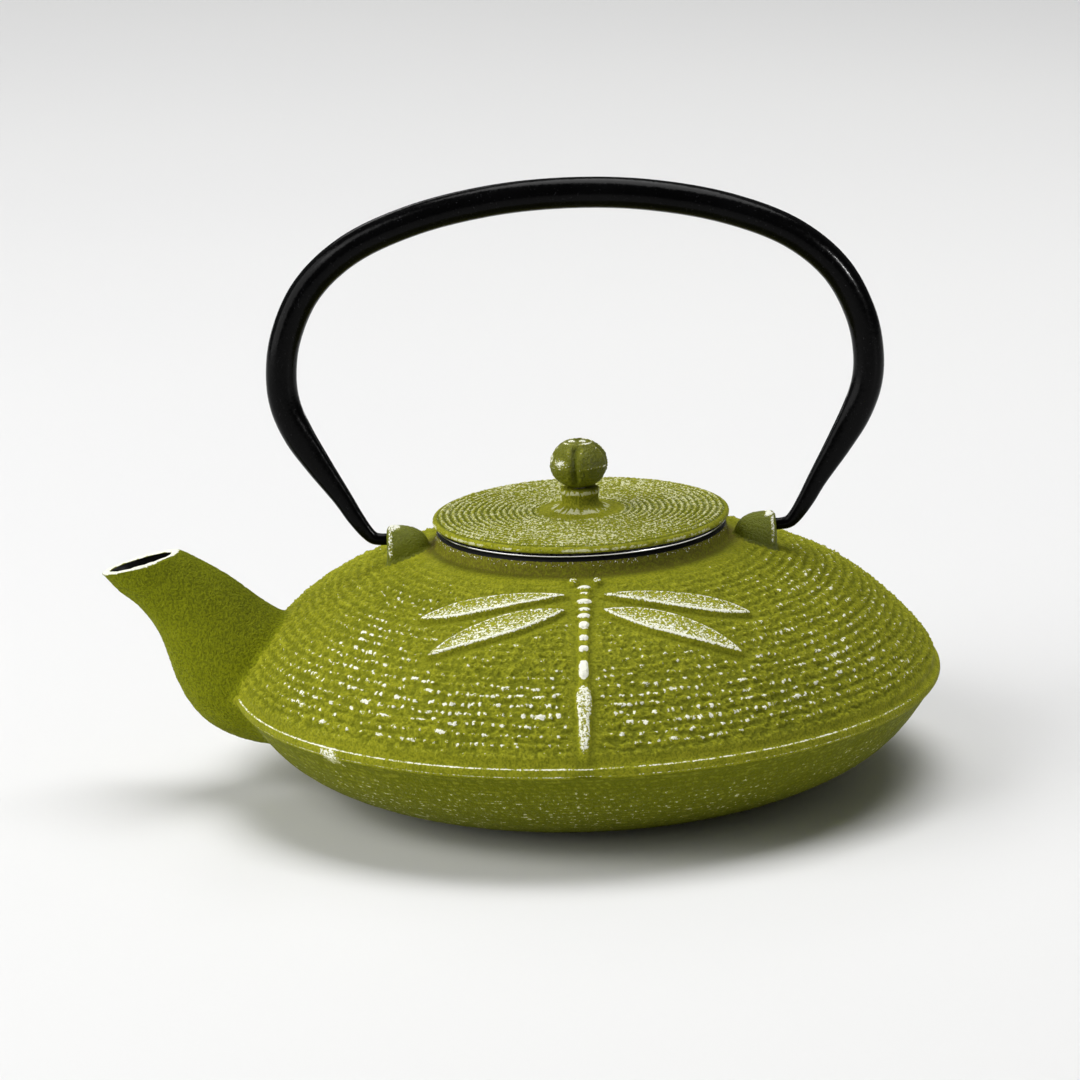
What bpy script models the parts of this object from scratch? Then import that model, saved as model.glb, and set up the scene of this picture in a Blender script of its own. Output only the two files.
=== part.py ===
"""Cast iron teapot with a bail handle, a lid and a steel infuser, at real size.

Units are metres, +Z is up and the origin is the centre of the pot's flat base. The front is -Y,
the spout points to -X, and the handle stands upright in the XZ plane.
"""

from math import cos, pi, radians, sin

import bmesh
import bpy
from mathutils import Matrix, Vector

MM = 0.001

# Fits and resolution
GAP = 0.3  # between pieces that touch
FINE_STEPS = 48
SMALL_STEPS = 32
SCREW_MERGE = 0.0001  # metres

# Bowl and shoulder, as (radius, height) from the collar's top down to the base, in mm
COLLAR_TOP = 65.8
BODY_OUTER = (
    (0.0, COLLAR_TOP),
    (35.2, COLLAR_TOP),
    (36.4, 65.4),
    (36.9, 64.7),
    (38.2, 61.5),
    (46.0, 59.0),
    (54.0, 56.1),
    (61.9, 53.0),
    (68.9, 49.3),
    (75.3, 44.4),
    (80.9, 39.0),
    (85.3, 34.0),
    (88.4, 29.9),
    (88.9, 28.2),
    (89.4, 27.5),
    (90.0, 26.9),
    (90.0, 25.8),
    (89.5, 25.2),
    (87.6, 23.0),
    (83.1, 16.8),
    (79.8, 13.2),
    (75.1, 9.5),
    (68.6, 5.9),
    (59.9, 2.5),
    (50.0, 0.0),
    (0.0, 0.0),
)
NECK_RADIUS = 33.3
FLOOR_THICKNESS = 3.2
CAVITY = (
    (0.0, COLLAR_TOP + 5.0),
    (NECK_RADIUS, COLLAR_TOP + 5.0),
    (NECK_RADIUS, 60.4),
    (36.0, 58.8),
    (45.0, 56.0),
    (53.0, 53.2),
    (60.6, 50.2),
    (67.2, 46.6),
    (73.3, 42.0),
    (78.7, 36.8),
    (82.9, 32.0),
    (85.6, 28.2),
    (86.2, 26.0),
    (85.4, 24.2),
    (80.8, 18.7),
    (77.8, 15.6),
    (73.4, 12.2),
    (67.4, 8.9),
    (59.2, 5.7),
    (49.7, FLOOR_THICKNESS),
    (0.0, FLOOR_THICKNESS),
)

# Spout: each section's upper and lower end in the XZ plane and its half width across, in mm
SPOUT_SECTIONS = (
    ((-102.1, 62.8), (-122.2, 57.7), 6.5),
    ((-98.0, 60.6), (-117.9, 52.8), 7.0),
    ((-94.0, 58.1), (-113.7, 49.3), 7.8),
    ((-89.5, 55.1), (-109.9, 44.2), 8.9),
    ((-85.5, 51.8), (-107.5, 39.0), 10.1),
    ((-81.5, 48.5), (-106.0, 33.7), 11.4),
    ((-76.0, 45.0), (-104.5, 28.8), 12.6),
    ((-69.0, 41.5), (-101.6, 22.9), 13.6),
    ((-62.0, 37.0), (-96.8, 17.4), 14.2),
    ((-56.0, 31.0), (-88.3, 13.0), 14.0),
    ((-52.0, 25.0), (-79.0, 11.0), 13.0),
)
SPOUT_WALL = 2.3
SPOUT_MOUTH_OVERRUN = 4.0
SPOUT_SIDES = 24

# Lugs that hold the handle's pins
LUG_FACE_X = 49.3
LUG_CENTRE_Z = 58.5
LUG_HALF_SIZE = (10.8, 6.0, 8.5)
PIN_HOLE_RADIUS = 1.8
PIN_HOLE_END_X = 44.2

# Dragonfly relief on the front shoulder, seen in plan, in mm
RELIEF_HEIGHT = 1.1
RELIEF_FOOT_Z = 26.0
RELIEF_PIVOT = (0.0, -50.0)
RELIEF_TURN = radians(-2.0)
WING_POINTS = 8
UPPER_WING = {"root": (3.7, -47.3), "tip": (40.7, -46.8), "half_width": 3.3, "fullest": 0.68}
LOWER_WING = {"root": (4.2, -53.2), "tip": (38.5, -60.9), "half_width": 3.9, "fullest": 0.42}
# The insect's body as (distance in front of the pot's axis, half width)
BODY_LINE = (
    (42.5, 1.2),
    (48.0, 1.3),
    (50.0, 1.9),
    (52.0, 1.3),
    (69.5, 1.1),
    (76.0, 1.5),
    (79.0, 2.1),
    (82.0, 1.5),
    (86.4, 1.3),
)
EYE_CENTRE = (2.7, -41.0)
EYE_RADIUS = 1.3

# Handle: the right half's centre line from the pin's end to the top, as (x, height, radius)
PIN_AXIS_Z = 63.5
PIN_RADIUS = 1.5
PIN_END_X = 44.8
HANDLE_RADIUS = 3.9
HANDLE_HALF = (
    (PIN_END_X, PIN_AXIS_Z, PIN_RADIUS),
    (50.6, PIN_AXIS_Z, PIN_RADIUS),
    (52.6, 63.9, 1.6),
    (54.2, 65.3, 1.7),
    (57.0, 69.3, 2.05),
    (60.0, 74.5, 2.4),
    (66.0, 84.0, 3.3),
    (70.3, 91.5, 3.85),
    (73.2, 99.0, HANDLE_RADIUS),
    (73.9, 106.5, HANDLE_RADIUS),
    (72.3, 116.5, HANDLE_RADIUS),
    (66.5, 128.4, HANDLE_RADIUS),
    (56.0, 137.9, HANDLE_RADIUS),
    (40.0, 144.9, HANDLE_RADIUS),
    (20.0, 149.4, HANDLE_RADIUS),
)
HANDLE_TOP_Z = 150.8
HANDLE_SUBDIVISIONS = 2
HANDLE_BEVEL = 3

# Lid, from the pedestal's top down its outer side, then back under it
RIVET_HOLE_RADIUS = 1.8
PEDESTAL_TOP_Z = 75.2
LID_UNDER_Z = 66.6
SKIRT_OUTER = 31.0
SKIRT_INNER = 28.8
SKIRT_LOW_Z = 60.5
LID_PROFILE = (
    (RIVET_HOLE_RADIUS, PEDESTAL_TOP_Z),
    (4.1, PEDESTAL_TOP_Z),
    (5.0, 74.8),
    (5.0, 74.0),
    (4.6, 73.2),
    (4.7, 71.8),
    (6.0, 70.5),
    (8.8, 69.4),
    (34.5, 69.1),
    (36.6, 68.9),
    (37.5, 68.4),
    (37.6, 67.7),
    (37.1, 67.1),
    (36.4, 67.0),
    (36.2, LID_UNDER_Z),
    (SKIRT_OUTER, LID_UNDER_Z),
    (SKIRT_OUTER, SKIRT_LOW_Z),
    (SKIRT_INNER, SKIRT_LOW_Z),
    (SKIRT_INNER, LID_UNDER_Z),
    (RIVET_HOLE_RADIUS, LID_UNDER_Z),
)

# Knob and its rivet
KNOB_CENTRE_Z = 81.3
KNOB_RADIUS = 7.4
KNOB_HALF_HEIGHT = 6.4
KNOB_FOOT_Z = PEDESTAL_TOP_Z + GAP
KNOB_RINGS = 11
KNOB_GROOVES = 2  # each cutting ring makes two grooves
KNOB_GROOVE_RADIUS = 0.5
KNOB_GROOVE_TURN = radians(-9.0)
KNOB_BORE_TOP_Z = 81.2
RIVET_RADIUS = 1.5
RIVET_TOP_Z = 80.8
RIVET_HEAD_RADIUS = 3.8
RIVET_HEAD_TOP_Z = LID_UNDER_Z - GAP
RIVET_HEAD_LOW_Z = 65.0

# Infuser
FLANGE_LOW_Z = COLLAR_TOP + GAP
FLANGE_TOP_Z = LID_UNDER_Z - GAP * 0.5
FLANGE_RADIUS = 36.6
RIM_OUTER = 33.0
RIM_INNER = 32.5
RIM_LOW_Z = 59.5
MESH_OUTER = 32.2
MESH_INNER = 31.8
MESH_TOP_Z = 64.5
MESH_LOW_Z = 24.0
RING_OUTER = 33.0
RING_INNER = 32.5
RING_TOP_Z = 27.5
RING_LOW_Z = 22.6
RING_LIP_INNER = 30.0
RING_LIP_THICKNESS = 0.5
MESH_FLOOR_RADIUS = 31.4
MESH_FLOOR_THICKNESS = 0.4


def clear_scene():
    for obj in list(bpy.data.objects):
        bpy.data.objects.remove(obj, do_unlink=True)


def new_collection(name, hidden):
    group = bpy.data.collections.new(name)
    group.hide_render = hidden
    bpy.context.scene.collection.children.link(group)
    return group


def new_material(name, colour, metallic, roughness):
    material = bpy.data.materials.new(name)
    material.use_nodes = True
    shader = material.node_tree.nodes["Principled BSDF"]
    shader.inputs["Base Color"].default_value = (*colour, 1.0)
    shader.inputs["Metallic"].default_value = metallic
    shader.inputs["Roughness"].default_value = roughness
    return material


def object_from_mesh(name, mesh, group):
    obj = bpy.data.objects.new(name, mesh)
    group.objects.link(obj)
    return obj


def as_helper(obj):
    obj.hide_render = True
    obj.display_type = "WIRE"
    return obj


def shade_smooth(obj, angle=radians(40)):
    for face in obj.data.polygons:
        face.use_smooth = True
    obj.data.set_sharp_from_angle(angle=angle)


def turned(name, profile, group, steps=FINE_STEPS, origin_z=0.0, closed=False):
    """A round solid about Z. The profile is (radius, height) in mm and runs down its outer side."""
    mesh = bpy.data.meshes.new(name)
    points = [(r * MM, 0.0, (z - origin_z) * MM) for r, z in profile]
    edges = [(i, i + 1) for i in range(len(points) - 1)]
    if closed:
        edges.append((len(points) - 1, 0))
    mesh.from_pydata(points, edges, [])
    obj = object_from_mesh(name, mesh, group)
    obj.location.z = origin_z * MM
    screw = obj.modifiers.new("turn", "SCREW")
    screw.axis = "Z"
    screw.angle = 2 * pi
    screw.steps = steps
    screw.render_steps = steps
    screw.use_merge_vertices = True
    screw.merge_threshold = SCREW_MERGE
    screw.use_smooth_shade = True
    return obj


def add_boolean(obj, other, operation):
    boolean = obj.modifiers.new(other.name, "BOOLEAN")
    boolean.object = other
    boolean.operation = operation
    boolean.solver = "EXACT"


def loft(name, rings, group):
    """A closed solid through rings of points, each with the same number of points."""
    shape = bmesh.new()
    made = [[shape.verts.new(point) for point in ring] for ring in rings]
    count = len(made[0])
    for first, second in zip(made, made[1:]):
        for i in range(count):
            j = (i + 1) % count
            shape.faces.new((first[i], first[j], second[j], second[i]))
    shape.faces.new(list(reversed(made[0])))
    shape.faces.new(made[-1])
    bmesh.ops.recalc_face_normals(shape, faces=shape.faces)
    mesh = bpy.data.meshes.new(name)
    shape.to_mesh(mesh)
    shape.free()
    return as_helper(object_from_mesh(name, mesh, group))


def spout_ring(section, shrink=0.0, shift=(0.0, 0.0)):
    """One oval section, its half widths smaller by shrink and moved by shift in the XZ plane."""
    upper, lower, half_width = section
    upper = Vector((upper[0] + shift[0], 0.0, upper[1] + shift[1]))
    lower = Vector((lower[0] + shift[0], 0.0, lower[1] + shift[1]))
    centre = (upper + lower) / 2
    half = (upper - lower) / 2
    half *= (half.length - shrink) / half.length
    ring = []
    for i in range(SPOUT_SIDES):
        turn = 2 * pi * i / SPOUT_SIDES
        across = Vector((0.0, (half_width - shrink) * sin(turn), 0.0))
        ring.append((centre + half * cos(turn) + across) * MM)
    return ring


def spout_outer(group):
    return loft("spout_outer", [spout_ring(section) for section in SPOUT_SECTIONS], group)


def spout_bore(group):
    """The passage, run out past the mouth and in to the bowl's hollow."""
    (ux, uz), (lx, lz), _ = SPOUT_SECTIONS[0]
    outward = Vector((lz - uz, ux - lx)).normalized() * SPOUT_MOUTH_OVERRUN
    rings = [spout_ring(SPOUT_SECTIONS[0], SPOUT_WALL, outward)]
    rings += [spout_ring(section, SPOUT_WALL) for section in SPOUT_SECTIONS]
    return loft("spout_bore", rings, group)


def cylinder_along_x(name, radius, start_x, end_x, z, group):
    bpy.ops.mesh.primitive_cylinder_add(
        vertices=24,
        radius=radius * MM,
        depth=abs(end_x - start_x) * MM,
        location=((start_x + end_x) / 2 * MM, 0.0, z * MM),
        rotation=(0.0, pi / 2, 0.0),
    )
    return claim_active(name, group)


def claim_active(name, group):
    """Names the object that an operator has just made and puts it in the collection."""
    obj = bpy.context.active_object
    obj.name = name
    for holder in list(obj.users_collection):
        holder.objects.unlink(obj)
    group.objects.link(obj)
    return as_helper(obj)


def lug(side, group):
    """A dome on the shoulder with a flat face outwards."""
    label = "right" if side > 0 else "left"
    bpy.ops.mesh.primitive_uv_sphere_add(
        segments=24,
        ring_count=14,
        radius=1.0,
        location=(side * LUG_FACE_X * MM, 0.0, LUG_CENTRE_Z * MM),
    )
    dome = claim_active(f"lug_dome_{label}", group)
    dome.scale = [size * MM for size in LUG_HALF_SIZE]
    bpy.ops.object.transform_apply(location=False, rotation=False, scale=True)
    reach = 2 * LUG_HALF_SIZE[0]
    bpy.ops.mesh.primitive_cube_add(
        size=1.0,
        location=(side * (LUG_FACE_X + reach / 2) * MM, 0.0, LUG_CENTRE_Z * MM),
        scale=(reach * MM, reach * MM, reach * MM),
    )
    trim = claim_active(f"lug_trim_{label}", group)
    add_boolean(dome, trim, "DIFFERENCE")
    return dome


def turned_in_plan(point):
    """A plan point turned with the whole dragonfly about its pivot."""
    pivot = Vector(RELIEF_PIVOT)
    return pivot + Matrix.Rotation(RELIEF_TURN, 2) @ (Vector(point) - pivot)


def wing_outline(wing, side):
    """A leaf from root to tip whose width peaks at the share of its length called fullest."""
    root = Vector((side * wing["root"][0], wing["root"][1]))
    tip = Vector((side * wing["tip"][0], wing["tip"][1]))
    along = tip - root
    across = Vector((-along.y, along.x)).normalized()
    edges = ([], [])
    for i in range(1, WING_POINTS):
        share = i / WING_POINTS
        if share < wing["fullest"]:
            fill = sin(pi / 2 * share / wing["fullest"])
        else:
            fill = cos(pi / 2 * (share - wing["fullest"]) / (1 - wing["fullest"]))
        width = wing["half_width"] * fill**0.8
        edges[0].append(root + along * share + across * width)
        edges[1].append(root + along * share - across * width)
    return [root, *edges[0], tip, *reversed(edges[1])]


def insect_outline():
    left = [(-half, -ahead) for ahead, half in BODY_LINE]
    right = [(half, -ahead) for ahead, half in reversed(BODY_LINE)]
    return left + right


def eye_outline(side):
    centre = Vector((side * EYE_CENTRE[0], EYE_CENTRE[1]))
    turns = [2 * pi * i / 8 for i in range(8)]
    return [centre + EYE_RADIUS * Vector((cos(turn), sin(turn))) for turn in turns]


def relief_plate(name, outline, envelope, group):
    """An outline in plan raised through the shoulder and cut off at the relief's height."""
    mesh = bpy.data.meshes.new(name)
    placed = [turned_in_plan(point) for point in outline]
    points = [(p.x * MM, p.y * MM, RELIEF_FOOT_Z * MM) for p in placed]
    mesh.from_pydata(points, [], [range(len(points))])
    plate = as_helper(object_from_mesh(name, mesh, group))
    solidify = plate.modifiers.new("height", "SOLIDIFY")
    solidify.thickness = (COLLAR_TOP - RELIEF_FOOT_Z) * MM
    solidify.offset = 1.0 if mesh.polygons[0].normal.z > 0 else -1.0
    add_boolean(plate, envelope, "INTERSECT")
    return plate


def dragonfly(group):
    raised = [(r + RELIEF_HEIGHT * 0.7, z + RELIEF_HEIGHT * 0.7) for r, z in BODY_OUTER[1:-1]]
    profile = [(0.0, raised[0][1]), *raised, (0.0, raised[-1][1])]
    envelope = as_helper(turned("relief_envelope", profile, group))
    plates = [relief_plate("insect_body", insect_outline(), envelope, group)]
    for side, label in ((-1, "left"), (1, "right")):
        outlines = {
            "upper_wing": wing_outline(UPPER_WING, side),
            "lower_wing": wing_outline(LOWER_WING, side),
            "eye": eye_outline(side),
        }
        for part, outline in outlines.items():
            plates.append(relief_plate(f"{part}_{label}", outline, envelope, group))
    return plates


def pot_body(parts, cutters, material):
    body = turned("pot_body", BODY_OUTER, parts)
    add_boolean(body, spout_outer(cutters), "UNION")
    for side in (-1, 1):
        add_boolean(body, lug(side, cutters), "UNION")
    for plate in dragonfly(cutters):
        add_boolean(body, plate, "UNION")
    add_boolean(body, as_helper(turned("cavity", CAVITY, cutters)), "DIFFERENCE")
    add_boolean(body, spout_bore(cutters), "DIFFERENCE")
    for side, label in ((-1, "left"), (1, "right")):
        end_x = (LUG_FACE_X + 3.0) * side
        hole = cylinder_along_x(
            f"pin_hole_{label}", PIN_HOLE_RADIUS, PIN_HOLE_END_X * side, end_x, PIN_AXIS_Z, cutters
        )
        add_boolean(body, hole, "DIFFERENCE")
    body.data.materials.append(material)
    return body


def handle(parts, material):
    """One tapered tube, its origin on the line through both pins."""
    left = [(-x, z, r) for x, z, r in HANDLE_HALF]
    line = [*left, (0.0, HANDLE_TOP_Z, HANDLE_RADIUS), *reversed(HANDLE_HALF)]
    curve = bpy.data.curves.new("handle", "CURVE")
    curve.dimensions = "3D"
    curve.bevel_depth = HANDLE_RADIUS * MM
    curve.bevel_resolution = HANDLE_BEVEL
    curve.resolution_u = HANDLE_SUBDIVISIONS
    curve.use_fill_caps = True
    spline = curve.splines.new("BEZIER")
    spline.bezier_points.add(len(line) - 1)
    for point, (x, z, radius) in zip(spline.bezier_points, line):
        point.co = (x * MM, 0.0, (z - PIN_AXIS_Z) * MM)
        point.radius = radius / HANDLE_RADIUS
        point.handle_left_type = "AUTO"
        point.handle_right_type = "AUTO"
    obj = bpy.data.objects.new("handle", curve)
    obj.location.z = PIN_AXIS_Z * MM
    parts.objects.link(obj)
    obj.data.materials.append(material)
    return obj


def lid(parts, material):
    obj = turned("lid", LID_PROFILE, parts, origin_z=LID_UNDER_Z, closed=True)
    obj.data.materials.append(material)
    return obj


def lid_knob(parts, cutters, material):
    """A slightly flattened ball with a blind hole for the rivet and grooves from pole to pole."""
    foot_share = (KNOB_CENTRE_Z - KNOB_FOOT_Z) / KNOB_HALF_HEIGHT
    last = pi / 2 + Vector((1.0, 0.0)).angle(Vector(((1 - foot_share**2) ** 0.5, foot_share)))
    turns = [last * i / KNOB_RINGS for i in range(KNOB_RINGS + 1)]
    outside = [
        (KNOB_RADIUS * sin(turn), KNOB_CENTRE_Z + KNOB_HALF_HEIGHT * cos(turn)) for turn in turns
    ]
    bore = [(RIVET_HOLE_RADIUS, KNOB_FOOT_Z), (RIVET_HOLE_RADIUS, KNOB_BORE_TOP_Z)]
    profile = [*outside, *bore, (0.0, KNOB_BORE_TOP_Z)]
    obj = turned("lid_knob", profile, parts, SMALL_STEPS, KNOB_CENTRE_Z)
    for i in range(KNOB_GROOVES):
        bpy.ops.mesh.primitive_torus_add(
            major_radius=KNOB_RADIUS * MM,
            minor_radius=KNOB_GROOVE_RADIUS * MM,
            major_segments=36,
            minor_segments=6,
            location=(0.0, 0.0, KNOB_CENTRE_Z * MM),
            rotation=(pi / 2, 0.0, KNOB_GROOVE_TURN + pi / 2 + pi * i / KNOB_GROOVES),
        )
        groove = claim_active(f"knob_groove_{i + 1}", cutters)
        groove.scale.y = KNOB_HALF_HEIGHT / KNOB_RADIUS
        add_boolean(obj, groove, "DIFFERENCE")
    obj.data.materials.append(material)
    return obj


def knob_rivet(parts, material):
    profile = (
        (0.0, RIVET_TOP_Z),
        (RIVET_RADIUS, RIVET_TOP_Z),
        (RIVET_RADIUS, RIVET_HEAD_TOP_Z),
        (RIVET_HEAD_RADIUS, RIVET_HEAD_TOP_Z),
        (RIVET_HEAD_RADIUS - 0.5, RIVET_HEAD_LOW_Z),
        (0.0, RIVET_HEAD_LOW_Z),
    )
    obj = turned("knob_rivet", profile, parts, SMALL_STEPS, RIVET_HEAD_LOW_Z)
    obj.data.materials.append(material)
    return obj


def infuser_rim(parts, material):
    profile = (
        (FLANGE_RADIUS, FLANGE_TOP_Z),
        (FLANGE_RADIUS, FLANGE_LOW_Z),
        (RIM_OUTER, FLANGE_LOW_Z),
        (RIM_OUTER, RIM_LOW_Z),
        (RIM_INNER, RIM_LOW_Z),
        (RIM_INNER, FLANGE_TOP_Z),
    )
    obj = turned("infuser_rim", profile, parts, origin_z=FLANGE_LOW_Z, closed=True)
    obj.data.materials.append(material)
    return obj


def infuser_mesh_wall(parts, material):
    profile = (
        (MESH_OUTER, MESH_TOP_Z),
        (MESH_OUTER, MESH_LOW_Z),
        (MESH_INNER, MESH_LOW_Z),
        (MESH_INNER, MESH_TOP_Z),
    )
    obj = turned("infuser_mesh_wall", profile, parts, origin_z=MESH_LOW_Z, closed=True)
    obj.data.materials.append(material)
    return obj


def infuser_bottom_ring(parts, material):
    profile = (
        (RING_OUTER, RING_TOP_Z),
        (RING_OUTER, RING_LOW_Z),
        (RING_LIP_INNER, RING_LOW_Z),
        (RING_LIP_INNER, RING_LOW_Z + RING_LIP_THICKNESS),
        (RING_INNER, RING_LOW_Z + RING_LIP_THICKNESS),
        (RING_INNER, RING_TOP_Z),
    )
    obj = turned("infuser_bottom_ring", profile, parts, origin_z=RING_LOW_Z, closed=True)
    obj.data.materials.append(material)
    return obj


def infuser_mesh_floor(parts, material):
    low = RING_LOW_Z + RING_LIP_THICKNESS + GAP * 0.5
    profile = (
        (0.0, low + MESH_FLOOR_THICKNESS),
        (MESH_FLOOR_RADIUS, low + MESH_FLOOR_THICKNESS),
        (MESH_FLOOR_RADIUS, low),
        (0.0, low),
    )
    obj = turned("infuser_mesh_floor", profile, parts, origin_z=low)
    obj.data.materials.append(material)
    return obj


def main():
    clear_scene()
    parts = new_collection("cast_iron_teapot", hidden=False)
    cutters = new_collection("cutters", hidden=True)
    green_iron = new_material("green_iron", (0.22, 0.25, 0.03), 0.0, 0.6)
    green_lid = new_material("green_lid", (0.24, 0.27, 0.05), 0.0, 0.6)
    green_knob = new_material("green_knob", (0.22, 0.25, 0.04), 0.0, 0.55)
    black_tube = new_material("black_tube", (0.012, 0.012, 0.012), 0.0, 0.45)
    plain_steel = new_material("plain_steel", (0.55, 0.55, 0.55), 1.0, 0.35)
    rim_steel = new_material("rim_steel", (0.7, 0.7, 0.7), 1.0, 0.25)
    mesh_steel = new_material("mesh_steel", (0.6, 0.6, 0.6), 1.0, 0.4)
    ring_steel = new_material("ring_steel", (0.68, 0.68, 0.68), 1.0, 0.3)
    floor_steel = new_material("floor_steel", (0.6, 0.6, 0.6), 1.0, 0.4)
    pot_body(parts, cutters, green_iron)
    handle(parts, black_tube)
    lid(parts, green_lid)
    lid_knob(parts, cutters, green_knob)
    knob_rivet(parts, plain_steel)
    infuser_rim(parts, rim_steel)
    infuser_mesh_wall(parts, mesh_steel)
    infuser_bottom_ring(parts, ring_steel)
    infuser_mesh_floor(parts, floor_steel)


main()
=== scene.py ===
"""Looks of the cast iron teapot: detailed meshes, materials, light and camera round the CAD frame.

Shapes are worked out in millimetres in numpy and turned into metres when a mesh is made.
"""

from math import pi, radians

import bmesh
import bpy
import numpy as np
from mathutils import Matrix, Vector
from mathutils.bvhtree import BVHTree


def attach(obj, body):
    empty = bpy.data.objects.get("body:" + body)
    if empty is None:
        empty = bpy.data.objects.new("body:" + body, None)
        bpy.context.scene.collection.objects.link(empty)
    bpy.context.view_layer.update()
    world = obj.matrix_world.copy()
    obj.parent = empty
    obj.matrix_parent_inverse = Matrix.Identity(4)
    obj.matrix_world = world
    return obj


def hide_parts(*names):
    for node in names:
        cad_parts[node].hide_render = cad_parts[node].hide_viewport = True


MM = 0.001
SEED = 20240611

# ---- Camera: place, angles and lens of the view from in front ----
CAMERA_PLACE = (0.0, -1.2305, 0.3695)
CAMERA_YAW = radians(0.515)
CAMERA_PITCH = radians(14.059)
CAMERA_ROLL = radians(-2.417)
CAMERA_SHIFT = (0.0017, 0.0012)
CAMERA_LENS = 166.67
CAMERA_SENSOR = 36.0
CAMERA_CLIP = (0.05, 50.0)

# ---- Mesh resolution: a STEP is in mm along an outline, STEPS and COLUMNS go round it ----
SHOULDER_STEPS = 1600
SHOULDER_STEP = 0.30
BOWL_STEPS = 1150
BOWL_STEP = 0.45
LID_STEPS = 960
LID_STEP = 0.25
ROUND_STEPS = 192
RING_STEPS = 256
RIVET_STEPS = 96
COLLAR_STEP = 0.45
RIM_STEP = 0.22
INSIDE_STEP = 1.2
SPOUT_COLUMNS = 200
SPOUT_STEP = 0.45
HANDLE_COLUMNS = 72
HANDLE_STEP = 0.55
KNOB_ROWS = 150
KNOB_COLUMNS = 240
LID_UNDER_STEP = 0.3
RIVET_STEP = 0.12
CURVE_SAMPLES = 24
CORNER_POINTS = 4
CORNER_SIZE = 0.08
SHARP_ANGLE = radians(35)
WELD = 1e-7  # metres
TINY = 1e-6
FAR = 99.0  # stands for out of a blend's reach
BLEND_HALVINGS = 9
# The coarser shapes that blends and seams are measured against
BODY_STEPS = 360
BODY_RIM_STEP = 0.4
BODY_BOWL_STEP = 0.8
TREE_COLUMNS = 96
TREE_SPOUT_STEP = 1.0

# ---- Colours, linear ----
GREEN = (0.268, 0.278, 0.0120)
GREEN_DEEP = (0.104, 0.120, 0.0040)
GREEN_LIGHT = (0.318, 0.326, 0.0155)
# A shaded copy of the green: the bowl is the same paint, made darker as painted shade since it faces down
GREEN_BOWL_SHADED = (0.160, 0.174, 0.0045)
GREEN_SPOUT = (0.212, 0.238, 0.0038)
GREEN_TIP = (0.400, 0.410, 0.030)
WORN_WHITE = (0.93, 0.93, 0.80)
CREAM_WHITE = (0.64, 0.64, 0.38)
# Brown for grime by the lugs and for the lid's painted shade on the collar
GRIME_AND_SHADE = (0.108, 0.082, 0.018)
SPOUT_LIGHT = (0.262, 0.288, 0.0048)
LUG_GREEN = (0.132, 0.152, 0.0013)
LUG_LIGHT = (0.172, 0.190, 0.0034)
LID_GREEN = (0.272, 0.277, 0.021)
KNOB_GREEN = (0.112, 0.122, 0.004)
KNOB_LIGHT = (0.165, 0.175, 0.008)
ENAMEL_BLACK = (0.012, 0.012, 0.012)
ENAMEL_TONES = ((0.010, 0.010, 0.011), (0.022, 0.021, 0.020))
COAT_TONES = ((0.0006, 0.0006, 0.0007), (0.0016, 0.0016, 0.0018))
COAT_DUST = (0.035, 0.035, 0.038)
STEEL_STAIN = (0.42, 0.40, 0.37)
FLOOR_TONES = ((0.745, 0.745, 0.745), (0.765, 0.765, 0.76))

# ---- Paint by piece, where it differs from iron_paint's own values ----
PAINTS = {
    "iron": {},
    # The bowl's paint is a shaded copy of the green, and carries painted shade all over
    "bowl": {"base": GREEN_BOWL_SHADED, "light": GREEN_BOWL_SHADED, "white_paint": CREAM_WHITE, "speckle": 0.08},
    "spout": {"base": GREEN_SPOUT, "light": SPOUT_LIGHT, "grain": 0.0011, "mottle": 0.62},
    "lug": {"base": LUG_GREEN, "light": LUG_LIGHT, "gloss": 0.2, "rough_from": 0.42},
    "lid": {"base": LID_GREEN, "white_paint": CREAM_WHITE},
    "knob": {"base": KNOB_GREEN, "light": KNOB_LIGHT, "grain": 0.0006, "gloss": 0.16, "rough_from": 0.30},
}
# ---- Steels: colour and roughness ----
STEELS = {
    "bright_steel": ((0.78, 0.78, 0.77), 0.16),
    "ring_steel_turned": ((0.72, 0.72, 0.71), 0.24),
    "wire_steel": ((0.66, 0.66, 0.65), 0.28),
    "plain_steel_head": ((0.56, 0.55, 0.53), 0.34),
}
TURNED_LINES = (40.0, 40.0, 9000.0)  # noise drawn out into fine lines round the axis
MIX_SOCKETS = (0, 6, 7)  # a mix node's inputs for a colour: share, first and second
MIX_RESULT = 2

# ---- Light: place, target, size in metres and watts ----
AIR_STRENGTH = 0.13
LIGHTS = {
    "key_left": ((-1.3, -0.8, 1.7), (0, 0, 0.03), (0.9, 0.9), 10.5),
    "spark_right": ((1.55, -1.1, 0.78), (0, 0, 0.1), (0.06, 0.34), 30.0),
    "back_left": ((-0.7, 1.95, 1.3), (-0.5, 1.85, 0.0), (1.3, 0.6), 6.5),
    "top_soft": ((0.28, 0.38, 1.9), (0, 0.1, 0.0), (1.6, 1.2), 34.0),
    "left_low": ((-2.05, -0.6, 0.95), (0, 0, 0.05), (2.1, 2.0), 38.0),
}
# This slim strip gives no diffuse light, so it shows only as a glint
GLINT_LIGHT = "spark_right"
# The floor's half size and centre, in mm
FLOOR_HALF = (6000, 6500, 0)
FLOOR_CENTRE = (0, 2500, 0)

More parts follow.
